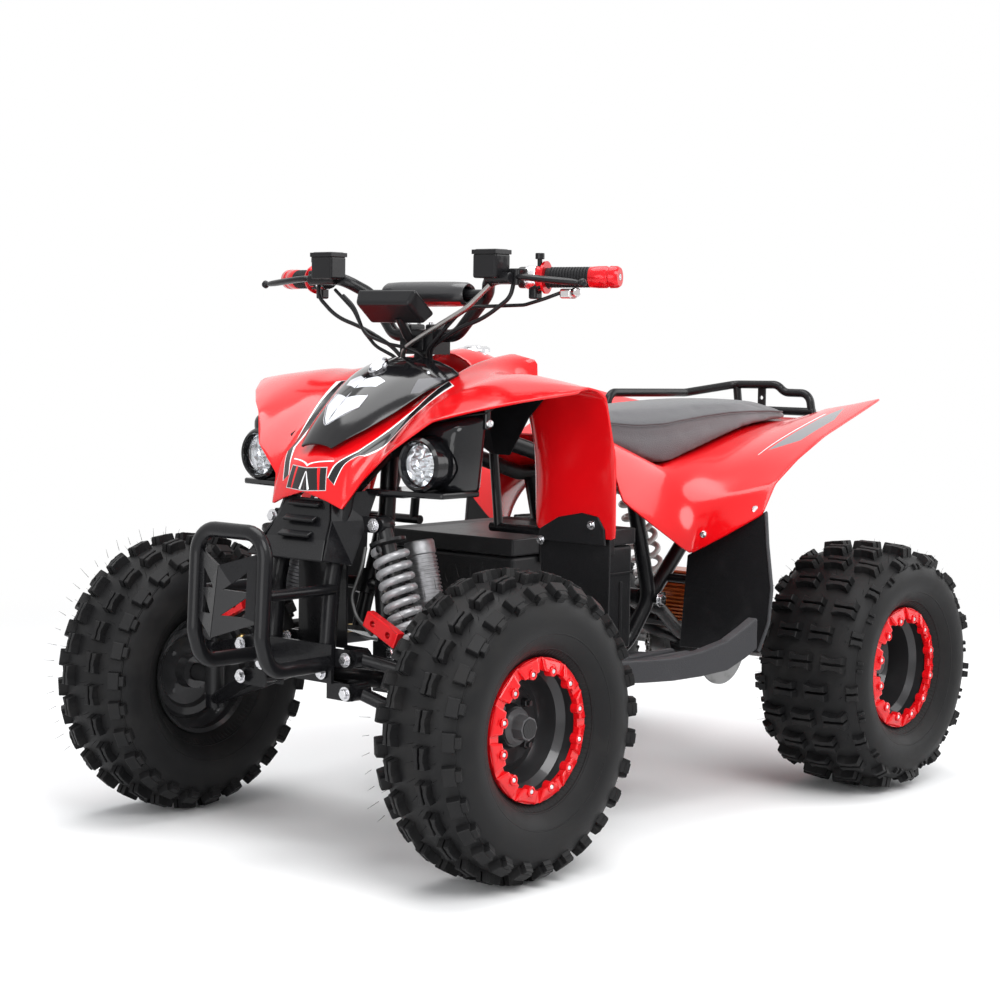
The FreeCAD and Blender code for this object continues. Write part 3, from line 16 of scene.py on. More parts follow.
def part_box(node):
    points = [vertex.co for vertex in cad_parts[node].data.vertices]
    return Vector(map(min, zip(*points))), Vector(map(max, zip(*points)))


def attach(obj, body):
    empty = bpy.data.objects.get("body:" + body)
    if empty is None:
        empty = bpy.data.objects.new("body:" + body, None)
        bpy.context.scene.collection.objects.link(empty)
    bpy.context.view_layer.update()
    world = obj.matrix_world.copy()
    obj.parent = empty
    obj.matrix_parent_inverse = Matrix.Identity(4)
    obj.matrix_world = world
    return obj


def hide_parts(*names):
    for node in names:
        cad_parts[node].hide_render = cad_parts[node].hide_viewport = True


log = logging.getLogger("quad")

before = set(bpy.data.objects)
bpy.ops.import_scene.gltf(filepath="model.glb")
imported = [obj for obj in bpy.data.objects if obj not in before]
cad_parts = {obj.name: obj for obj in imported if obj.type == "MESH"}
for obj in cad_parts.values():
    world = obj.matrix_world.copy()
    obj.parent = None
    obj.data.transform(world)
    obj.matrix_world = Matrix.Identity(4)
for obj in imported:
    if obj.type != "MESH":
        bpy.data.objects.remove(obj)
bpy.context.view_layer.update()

Point = Sequence[float]
Row = tuple[float, tuple[tuple[float, float], ...]]
ORIGIN = (0.0, 0.0, 0.0)

axle_low, axle_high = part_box("rear_axle")
AXLE_X = (axle_low.x + axle_high.x) / 2

# Weave of a braided hose: cells a metre along each axis
BRAID = (1400.0, 1400.0, 1400.0)


def at(x: float, y: float, z: float) -> Vector:
    """Place on the bike from its distance ahead of the rear axle, to the left and above ground."""
    return Vector((AXLE_X + x, y, z))


def route(spots: Iterable[Point], side: int = 1) -> list[Vector]:
    """Places on the bike along a route, mirrored where the side is -1."""
    return [at(x, side * y, z) for x, y, z in spots]


def spoke(angle: float) -> Vector:
    """Direction at an angle in the side view, 0 ahead and rising upwards."""
    return Vector((math.cos(angle), 0.0, math.sin(angle)))


class Side(Enum):
    """Left or right of the bike, with the sign of Y on that side."""

    LEFT = 1
    RIGHT = -1


class Wheelset(Enum):
    """Which end of the bike a wheel is on."""

    FRONT = "front"
    REAR = "rear"


# Shader recipes


class Signal:
    """A number that runs through a material, with the usual operators."""

    def __init__(self, recipe: "Recipe", socket: bpy.types.NodeSocket) -> None:
        """Keep the socket and the material it belongs to."""
        self.recipe = recipe
        self.socket = socket

    def _op(self, kind: str, *values: object) -> "Signal":
        """One Math node on these values."""
        node = self.recipe.node("ShaderNodeMath", {"operation": kind}, *values)
        return Signal(self.recipe, node.outputs[0])

    def __add__(self, other: object) -> "Signal":
        """Sum."""
        return self._op("ADD", self, other)

    __radd__ = __add__

    def __sub__(self, other: object) -> "Signal":
        """Difference."""
        return self._op("SUBTRACT", self, other)

    def __mul__(self, other: object) -> "Signal":
        """Product."""
        return self._op("MULTIPLY", self, other)

    __rmul__ = __mul__

    def __abs__(self) -> "Signal":
        """Size without its sign."""
        return self._op("ABSOLUTE", self)

    def high(self, other: object) -> "Signal":
        """The higher of two."""
        return self._op("MAXIMUM", self, other)

    def sine(self) -> "Signal":
        """Sine."""
        return self._op("SINE", self)

    def root(self) -> "Signal":
        """Square root."""
        return self._op("SQRT", self)

    def angle(self, other: "Signal") -> "Signal":
        """Angle whose tangent is this over the other."""
        return self._op("ARCTAN2", self, other)

    def step(self, low: float, high: float) -> "Signal":
        """Smooth rise from 0 at low to 1 at high.

        Args:
            low: value below which it is 0.
            high: value above which it is 1.

        Returns:
            The smoothed signal.
        """
        node = self.recipe.node("ShaderNodeMapRange", {"interpolation_type": "SMOOTHSTEP"},
                                self, low, high, 0.0, 1.0)
        return Signal(self.recipe, node.outputs[0])


class Recipe:
    """Material in the making: its node tree and its one shader."""

    def __init__(self, name: str) -> None:
        """Start an empty material with a shader.

        Args:
            name: name of the material.
        """
        self.material = bpy.data.materials.new(name)
        self.material.use_nodes = True
        self.tree = self.material.node_tree
        self.tree.nodes.clear()
        self.output = self.node("ShaderNodeOutputMaterial", {})
        self.shader = self.node("ShaderNodeBsdfPrincipled", {})
        self.tree.links.new(self.shader.outputs[0], self.output.inputs[0])
        self.place = self.node("ShaderNodeTexCoord", {}).outputs["Object"]

    def node(self, kind: str, settings: dict[str, object], *values: object,
             **named: object) -> bpy.types.Node:
        """Add a node, choose its settings, then fill its sockets.

        Args:
            kind: Blender's name of the node.
            settings: properties set before the sockets.
            values: numbers, colours or links for the first sockets in order.
            named: the same by socket name, with spaces as underscores.

        Returns:
            The node.
        """
        made = self.tree.nodes.new(kind)
        for key, value in settings.items():
            setattr(made, key, value)
        pairs = list(zip(made.inputs, values))
        pairs += [(made.inputs[key.replace("_", " ")], value) for key, value in named.items()]
        for socket, value in pairs:
            self.plug(socket, value)
        return made

    def plug(self, socket: bpy.types.NodeSocket, value: object) -> None:
        """Link one socket to a pattern or set its value.

        Args:
            socket: input of a node.
            value: signal, socket, number, vector or colour; a colour is made opaque.
        """
        if isinstance(value, Signal):
            value = value.socket
        if isinstance(value, bpy.types.NodeSocket):
            self.tree.links.new(value, socket)
        elif isinstance(value, tuple) and socket.type == "RGBA":
            socket.default_value = (*value[:3], 1.0)
        else:
            socket.default_value = value

    def axes(self, centre: Point = (0.0, 0.0, 0.0)) -> tuple[Signal, Signal, Signal]:
        """The three coordinates of the surface, from a centre.

        Args:
            centre: place where all three are 0.

        Returns:
            Signals of X, Y and Z.
        """
        moved = self.node("ShaderNodeVectorMath", {"operation": "SUBTRACT"}, self.place, tuple(centre))
        parts = self.node("ShaderNodeSeparateXYZ", {}, moved.outputs[0])
        return tuple(Signal(self, socket) for socket in parts.outputs)

    def noise(self, scale: float, detail: float = 3.0, place: object = None) -> Signal:
        """Soft random pattern at a number of cells a metre."""
        made = self.node("ShaderNodeTexNoise", {}, place or self.place, Scale=scale, Detail=detail)
        return Signal(self, made.outputs["Fac"] if "Fac" in made.outputs else made.outputs[0])

    def cells(self, scale: float) -> Signal:
        """Distance to the middle of the nearest cell."""
        made = self.node("ShaderNodeTexVoronoi", {}, self.place, Scale=scale)
        return Signal(self, made.outputs["Distance"])

    def blend(self, mask: object, first: object, second: object) -> bpy.types.NodeSocket:
        """Colour that is the first where the mask is 0 and the second where it is 1.

        Args:
            mask: share of the second, from 0 to 1.
            first: colour where it is 0.
            second: colour where it is 1.

        Returns:
            The mixed colour.
        """
        made = self.node("ShaderNodeMix", {"data_type": "RGBA"})
        for number, value in ((0, mask), (6, first), (7, second)):
            self.plug(made.inputs[number], value)
        return made.outputs[2]

    def fill(self, **sockets: object) -> None:
        """Set or link sockets of the shader by name."""
        for key, value in sockets.items():
            self.plug(self.shader.inputs[key.replace("_", " ")], value)

    def relief(self, height: Signal, depth: float, strength: float = 1.0) -> None:
        """Bump the surface by a pattern.

        Args:
            height: pattern from 0 to 1.
            depth: metres between 0 and 1.
            strength: share of the effect.
        """
        made = self.node("ShaderNodeBump", {}, Strength=strength, Distance=depth, Height=height)
        self.fill(Normal=made.outputs[0])


@dataclass(frozen=True)
class Paint:
    """Smooth coloured finish: gloss plastic, enamel or powder coat."""

    name: str
    colour: tuple[float, float, float]
    rough: float = 0.25
    coat: float = 0.5
    metal: float = 0.0
    grain: float = 900.0
    grain_depth: float = 0.00012
    dust: float = 0.04
    shine: float = 0.14

    def make(self) -> bpy.types.Material:
        """Build the finish.

        Returns:
            The material, with faint mottling, fine relief and rubbed patches.
        """
        recipe = Recipe(self.name)
        cloud = recipe.noise(9.0, 4.0)
        fine = recipe.noise(self.grain, 2.0)
        pale = tuple(min(1.0, c + self.dust) for c in self.colour)
        recipe.fill(Base_Color=recipe.blend(cloud.step(0.45, 0.9) * 0.5, self.colour, pale),
                    Roughness=self.rough + (cloud - 0.5) * 0.12 + (fine - 0.5) * 0.06, Metallic=self.metal,
                    Coat_Weight=self.coat, Coat_Roughness=0.06, Specular_IOR_Level=self.shine)
        recipe.relief(fine, self.grain_depth)
        return recipe.material


@dataclass(frozen=True)
class Grained:
    """Moulded black plastic or vinyl with a fine pebble grain."""

    name: str
    colour: tuple[float, float, float]
    rough: float = 0.55
    scale: float = 700.0
    depth: float = 0.0003
    sheen: float = 0.0

    def make(self) -> bpy.types.Material:
        """Build the finish.

        Returns:
            The material, pebbled, a little paler on the scuffed parts.
        """
        recipe = Recipe(self.name)
        pebble = recipe.cells(self.scale)
        scuff = recipe.noise(14.0, 5.0).step(0.52, 0.8)
        pale = tuple(c * 1.7 + 0.01 for c in self.colour)
        recipe.fill(Base_Color=recipe.blend(scuff * 0.5, self.colour, pale),
                    Roughness=self.rough + (scuff * 0.1) - (pebble * 0.08), Sheen_Weight=self.sheen,
                    Specular_IOR_Level=0.16)
        recipe.relief(pebble.step(0.1, 0.7), self.depth, 0.7)
        return recipe.material


@dataclass(frozen=True)
class Metal:
    """Bare or plated metal with fine brushing."""

    name: str
    colour: tuple[float, float, float]
    rough: float = 0.3
    brush: tuple[float, float, float] = (60.0, 60.0, 900.0)

    def make(self) -> bpy.types.Material:
        """Build the finish.

        Returns:
            The material, with streaks along one way and dull spots.
        """
        recipe = Recipe(self.name)
        spread = recipe.node("ShaderNodeVectorMath", {"operation": "MULTIPLY"}, recipe.place, self.brush)
        streak = recipe.noise(1.0, 3.0, spread.outputs[0])
        spot = recipe.noise(60.0, 4.0)
        dull = tuple(c * 0.72 for c in self.colour)
        recipe.fill(Base_Color=recipe.blend(spot.step(0.45, 0.75) * 0.6, self.colour, dull), Metallic=1.0,
                    Roughness=self.rough + (streak - 0.5) * 0.25 + spot.step(0.5, 0.8) * 0.15)
        recipe.relief(streak, 0.00005)
        return recipe.material


@dataclass(frozen=True)
class Tread:
    """Tyre rubber round one wheel: moulded rings, bead ribs and a dusty bloom."""

    name: str
    centre: tuple[float, float, float]
    radius: float
    bead: float

    def make(self) -> bpy.types.Material:
        """Build the finish.

        Returns:
            The material, with the sidewall's rings and ribs as relief.
        """
        recipe = Recipe(self.name)
        x, _, z = recipe.axes(self.centre)
        reach = ((x * x) + (z * z)).root()
        turn = z.angle(x)
        rings = abs(reach - self.radius * 0.845).step(0.0016, 0.0004)
        rings = rings.high(abs(reach - self.radius * 0.62).step(0.0012, 0.0004) * 0.6)
        rings = rings.high(abs(reach - (self.bead + 0.012)).step(0.0016, 0.0006))
        band = abs(reach - (self.bead + 0.0065)).step(0.0042, 0.0036)
        ribs = (turn * 96.0).sine().step(-0.2, 0.4) * band
        fine = recipe.noise(1500.0, 2.0)
        bloom = recipe.noise(22.0, 5.0).step(0.42, 0.8)
        recipe.fill(Base_Color=recipe.blend(bloom * 0.55, (0.0065, 0.0065, 0.0070), (0.019, 0.018, 0.0175)),
                    Roughness=0.52 + bloom * 0.18 + (fine - 0.5) * 0.1, Specular_IOR_Level=0.18)
        recipe.relief((rings + ribs) + fine * 0.12, 0.0011)
        return recipe.material


# Modelling steps

Test = Callable[[Vector], bool]


def deselect() -> None:
    """Leave nothing selected."""
    bpy.ops.object.select_all(action="DESELECT")


def pick(piece: bpy.types.Object) -> None:
    """Select one piece and nothing else, and make it the active one.

    Args:
        piece: piece to select.
    """
    deselect()
    piece.select_set(True)
    bpy.context.view_layer.objects.active = piece


def turn_to(axis: Point) -> Matrix:
    """Rotation that takes Z to an axis."""
    return Vector((0.0, 0.0, 1.0)).rotation_difference(Vector(axis)).to_matrix().to_4x4()


def about(centre: Point, angle: float, axis: Vector | str = "Y") -> Matrix:
    """Rotation by an angle round an axis through a point."""
    hub = Matrix.Translation(centre)
    return hub @ Matrix.Rotation(angle, 4, axis) @ hub.inverted()


class Work:
    """One mesh piece in the making, shaped with Blender's own operators."""

    def __init__(self, name: str) -> None:
        """Take up the piece that is active now.

        Args:
            name: name of the piece.
        """
        self.piece = bpy.context.view_layer.objects.active
        self.piece.name = name
        self.piece.data.name = name
        self.settle()

    def settle(self) -> None:
        """Put the place of the object into its mesh."""
        pick(self.piece)
        bpy.ops.object.transform_apply(location=True, rotation=True, scale=True)

    @classmethod
    def drum(cls, name: str, radius: float, depth: float, centre: Point, axis: Point = (0, 1, 0),
             sides: int = 32, top: float | None = None) -> "Work":
        """Round bar or cone round a centre.

        Args:
            name: name of the piece.
            radius: radius, or that of its start.
            depth: length along the axis.
            centre: middle of the piece.
            axis: direction it runs in.
            sides: faces round it.
            top: radius of its end, where it differs.

        Returns:
            The piece in the making.
        """
        deselect()
        turned = turn_to(axis).to_euler()
        bpy.ops.mesh.primitive_cone_add(vertices=sides, radius1=radius,
                                        radius2=radius if top is None else top, depth=depth, location=centre,
                                        rotation=turned)
        return cls(name)

    @classmethod
    def block(cls, name: str, size: Point, centre: Point, turn: Point = (0.0, 0.0, 0.0)) -> "Work":
        """Box of a size round a centre, turned by three angles in degrees.

        Args:
            name: name of the piece.
            size: its three edges.
            centre: its middle.
            turn: angles about X, Y and Z in degrees.

        Returns:
            The piece in the making.
        """
        deselect()
        bpy.ops.mesh.primitive_cube_add(size=1.0, location=centre, rotation=[math.radians(a) for a in turn],
                                        scale=size)
        return cls(name)

    @classmethod
    def lathe(cls, name: str, profile: Sequence[tuple[float, float]], centre: Point, axis: Point = (0, 1, 0),
              steps: int = 64) -> "Work":
        """Closed outline spun round an axis.

        Args:
            name: name of the piece.
            profile: radius and place along the axis of each corner.
            centre: point of the axis at place 0.
            axis: direction of the axis.
            steps: faces round it.

        Returns:
            The piece in the making.
        """
        made = cls.outline(name, [(radius, 0.0, place) for radius, place in profile])
        made.edit()
        bpy.ops.mesh.select_all(action="SELECT")
        bpy.ops.mesh.spin(steps=steps, angle=math.tau, use_auto_merge=True, center=(0, 0, 0), axis=(0, 0, 1))
        made.merge()
        made.object()
        made.move(Matrix.Translation(centre) @ turn_to(axis))
        return made

    @classmethod
    def outline(cls, name: str, places: Sequence[Point], fill: str = "NOTHING") -> "Work":
        """Closed line through places.

        Args:
            name: name of the piece.
            places: its corners in order.
            fill: NGON for a face inside it, NOTHING for the line alone.

        Returns:
            The piece in the making.
        """
        deselect()
        bpy.ops.mesh.primitive_circle_add(vertices=len(places), radius=1.0, fill_type=fill)
        return cls(name).lay(places)

    @classmethod
    def sheet(cls, name: str, rows: Sequence[Sequence[Vector]]) -> "Work":
        """Grid of faces through rows of places.

        Args:
            name: name of the piece.
            rows: rows of as many places each.

        Returns:
            The piece in the making.
        """
        deselect()
        bpy.ops.mesh.primitive_grid_add(x_subdivisions=len(rows[0]) - 1,
                                        y_subdivisions=len(rows) - 1, size=1.0)
        return cls(name).lay([place for row in rows for place in row])

    def lay(self, places: Sequence[Point]) -> "Work":
        """Put the corners of the mesh at these places, in order.

        Args:
            places: place of each corner.

        Returns:
            The piece in the making.
        """
        for vertex, place in zip(self.piece.data.vertices, places):
            vertex.co = place
        return self

    @classmethod
    def tube(cls, name: str, points: Sequence[Vector], radius: float, bend: float = 0.03, sides: int = 8,
             closed: bool = False) -> "Work":
        """Round tube along straight runs with bent corners.

        Args:
            name: name of the piece.
            points: ends and corners.
            radius: radius of the tube.
            bend: radius of its bends at the middle line.
            sides: half the faces round it.
            closed: whether it runs back to its start.

        Returns:
            The piece in the making.
        """
        deselect()
        bpy.ops.curve.primitive_bezier_curve_add()
        path = bpy.context.view_layer.objects.active
        curve = path.data
        curve.splines.clear()
        curve.dimensions = "3D"
        spline = curve.splines.new("BEZIER")
        knots: list[tuple[Vector, Vector, Vector]] = []
        count = len(points)
        for index, corner in enumerate(points):
            if not closed and index in (0, count - 1):
                knots.append((corner, corner, corner))
                continue
            before, after = points[index - 1], points[(index + 1) % count]
            run_in, run_out = (corner - before), (after - corner)
            reach = min(run_in.length, run_out.length) * 0.48
            run_in.normalize()
            run_out.normalize()
            half = run_in.angle(run_out) / 2
            if half < 0.01:
                knots.append((corner, corner - run_in * 0.001, corner + run_out * 0.001))
                continue
            back = min(bend * math.tan(half), reach)
            handle = back / math.tan(half) * math.tan(half / 2) * 4 / 3
            start, end = corner - run_in * back, corner + run_out * back
            knots.append((start, start, start + run_in * handle))
            knots.append((end, end - run_out * handle, end))
        spline.bezier_points.add(len(knots) - 1)
        for knot, (place, left, right) in zip(spline.bezier_points, knots):
            knot.handle_left_type = knot.handle_right_type = "FREE"
            knot.co, knot.handle_left, knot.handle_right = place, left, right
        spline.use_cyclic_u = closed
        spline.resolution_u = 8
        curve.bevel_depth = radius
        curve.bevel_resolution = sides
        curve.use_fill_caps = True
        path.location = (0.0, 0.0, 0.0)
        pick(path)
        bpy.ops.object.convert(target="MESH")
        return cls(name).weld(0.00002).smooth()

    @classmethod
    def coil(cls, name: str, start: Point, end: Point, radius: float, wire: float, turns: float) -> "Work":
        """Coil spring between two places.

        Args:
            name: name of the piece.
            start: middle of its first turn.
            end: middle of its last turn.
            radius: radius of the coil.
            wire: radius of the wire.
            turns: how often it runs round.

        Returns:
            The piece in the making.
        """
        deselect()
        run = Vector(end) - Vector(start)
        bpy.ops.mesh.primitive_circle_add(vertices=12, radius=wire, location=(radius, 0.0, 0.0),
                                          rotation=(math.pi / 2, 0.0, 0.0), fill_type="NGON")
        made = cls(name)
        made.modify("SCREW", axis="Z", screw_offset=run.length / turns, angle=math.tau, steps=28,
                    render_steps=28, iterations=int(turns))
        return made.weld().move(Matrix.Translation(start) @ turn_to(run)).smooth(60.0)

    def edit(self) -> None:
        """Open the mesh for edits."""
        pick(self.piece)
        bpy.ops.object.mode_set(mode="EDIT")

    def object(self) -> None:
        """Close the mesh."""
        bpy.ops.object.mode_set(mode="OBJECT")

    def merge(self, reach: float = 0.00001) -> None:
        """Weld what meets and turn faces outwards.

        Args:
            reach: distance below which corners become one.
        """
        bpy.ops.mesh.select_all(action="SELECT")
        bpy.ops.mesh.remove_doubles(threshold=reach)
        bpy.ops.mesh.normals_make_consistent(inside=False)

    def choose(self, mode: str, test: Callable[[object], bool]) -> None:
        """Select the parts of the edited mesh that pass a test, and no others.

        Args:
            mode: FACE, EDGE or VERT.
            test: whether a part of that kind is taken.
        """
        bpy.ops.mesh.select_all(action="DESELECT")
        bpy.ops.mesh.select_mode(type=mode)
        shape = bmesh.from_edit_mesh(self.piece.data)
        for part in {"FACE": shape.faces, "EDGE": shape.edges, "VERT": shape.verts}[mode]:
            part.select_set(test(part))
        if mode == "VERT":
            shape.select_flush(True)
        bmesh.update_edit_mesh(self.piece.data)

    def faces(self, test: Callable[[Vector, Vector], bool]) -> None:
        """Select the faces that pass a test on their middle and normal."""
        self.choose("FACE", lambda face: test(face.calc_center_median(), face.normal))

    def inset(self, test: Callable[[Vector, Vector], bool], *steps: tuple[float, float]) -> None:
        """Set the faces that pass a test inwards, step by step.

        Args:
            test: whether a face with this middle and normal is taken.
            steps: width and depth of each step.
        """
        self.edit()
        self.faces(test)
        for width, depth in steps:
            bpy.ops.mesh.inset(thickness=width, depth=depth)
        self.object()

    def edges(self, test: Callable[[Vector, Vector], bool]) -> None:
        """Select the edges that pass a test on their two ends."""
        self.choose("EDGE", lambda edge: test(edge.verts[0].co, edge.verts[1].co))

    def corners(self, test: Test) -> None:
        """Select the corners that pass a test on their place."""
        self.choose("VERT", lambda corner: test(corner.co))

    def squeeze(self, test: Test, scale: Point, centre: Point) -> "Work":
        """Scale some corners towards a centre.

        Args:
            test: whether a corner at this place is taken.
            scale: factor along each axis.
            centre: place that stays.

        Returns:
            The piece in the making.
        """
        self.edit()
        self.corners(test)
        bpy.ops.transform.resize(value=scale, center_override=centre)
        self.object()
        return self

    def weld(self, reach: float = 0.00001) -> "Work":
        """Weld what meets, outside edit mode.

        Args:
            reach: distance below which corners become one.

        Returns:
            The piece in the making.
        """
        self.edit()
        self.merge(reach)
        self.object()
        return self

    def fill_ends(self, sides: int) -> None:
        """Close the open ends of the edited mesh that have up to so many sides.

        Args:
            sides: most sides that an end may have.
        """
        bpy.ops.mesh.select_all(action="DESELECT")
        bpy.ops.mesh.select_non_manifold(extend=False)
        bpy.ops.mesh.fill_holes(sides=sides)
        self.merge()

    def thicken(self, wall: float) -> "Work":
        """Give a sheet its wall, half of it to each side."""
        return self.modify("SOLIDIFY", thickness=wall, offset=0.0)

    def crease(self, test: Callable[[int, int], bool], value: float) -> "Work":
        """Crease some edges.

        Args:
            test: whether an edge between the corners of these numbers is taken.
            value: crease from 0 to 1.

        Returns:
            The piece in the making.
        """
        self.edit()
        self.choose("EDGE", lambda edge: test(edge.verts[0].index, edge.verts[1].index))
        bpy.ops.transform.edge_crease(value=value)
        self.object()
        return self

    def cut(self, other: "Work") -> "Work":
        """Cut another piece out of this one and drop it.

        Args:
            other: piece that is taken out.

        Returns:
            The piece in the making.
        """
        self.modify("BOOLEAN", object=other.piece, operation="DIFFERENCE", solver="EXACT")
        bpy.data.objects.remove(other.piece, do_unlink=True)
        return self

    def soften(self, width: float, segments: int = 2, angle: float = 30.0) -> "Work":
        """Round every edge sharper than an angle."""
        return self.modify("BEVEL", width=width, segments=segments, limit_method="ANGLE",
                           angle_limit=math.radians(angle))

    def modify(self, kind: str, **settings: object) -> "Work":
        """Add a modifier with its settings and apply it.

        Args:
            kind: Blender's name of the modifier.
            settings: its properties.

        Returns:
            The piece in the making.
        """
        pick(self.piece)
        added = self.piece.modifiers.new(kind.title(), kind)
        for key, value in settings.items():
            setattr(added, key, value)
        bpy.ops.object.modifier_apply(modifier=added.name)
        return self

    def move(self, matrix: Matrix) -> "Work":
        """Carry the mesh by a matrix.

        Args:
            matrix: where it goes; a mirror image keeps its faces outwards.

        Returns:
            The piece in the making.
        """
        self.piece.data.transform(matrix)
        if matrix.determinant() < 0:
            self.piece.data.flip_normals()
        self.piece.data.update()
        return self

    def smooth(self, angle: float = 35.0) -> "Work":
        """Smooth shading up to an angle.

        Args:
            angle: sharpest edge that is still smoothed, degrees.

        Returns:
            The piece in the making.
        """
        pick(self.piece)
        bpy.ops.object.shade_smooth_by_angle(angle=math.radians(angle))
        return self

    def copy(self, matrix: Matrix, name: str = "") -> "Work":
        """Copy with its own mesh, carried by a matrix.

        Args:
            matrix: where the copy goes.
            name: its name, where it differs.

        Returns:
            The copy.
        """
        pick(self.piece)
        bpy.ops.object.duplicate()
        made = Work(name or self.piece.name)
        return made.move(matrix)

    def mirror(self, name: str = "") -> "Work":
        """Copy on the other side of the bike."""
        return self.copy(Matrix.Scale(-1.0, 4, (0.0, 1.0, 0.0)), name)

    def join(self, others: Iterable["Work"]) -> "Work":
        """Take other pieces into this one.

        Args:
            others: pieces that it takes up.

        Returns:
            The piece in the making.
        """
        pick(self.piece)
        for other in others:
            other.piece.select_set(True)
        bpy.ops.object.join()
        return self

    def ring(self, count: int, centre: Point, axis: Point = (0, 1, 0), start: float = 0.0) -> "Work":
        """Repeat the piece round an axis, all in one mesh.

        Args:
            count: how many in a turn.
            centre: point of the axis.
            axis: its direction.
            start: turn of the first one, degrees.

        Returns:
            The piece in the making.
        """
        way = Vector(axis)
        self.join([self.copy(about(centre, math.tau * index / count, way)) for index in range(1, count)])
        if start:
            self.move(about(centre, math.radians(start), way))
        return self

    def finish(self, material: bpy.types.Material, body: str, slot: str, *nodes: str) -> bpy.types.Object:
        """Dress the piece, let it ride and report it.

        Args:
            material: finish of the whole piece.
            body: body it moves with.
            slot: name of a finish, not used.
            nodes: solids of the frame that it replaces.

        Returns:
            The piece.
        """
        self.piece.data.materials.clear()
        self.piece.data.materials.append(material)
        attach(self.piece, body)
        if nodes:
            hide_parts(*nodes)
        log.info("%s: %d faces on %s", self.piece.name, len(self.piece.data.polygons), body)
        return self.piece


def gather(name: str, parts: Sequence[Work]) -> Work:
    """One piece from several.

    Args:
        name: name of the piece.
        parts: pieces that it takes up, at least one.

    Returns:
        The piece in the making.
    """
    whole = parts[0].join(parts[1:]) if len(parts) > 1 else parts[0]
    whole.piece.name = name
    whole.piece.data.name = name
    return whole


# Wheels


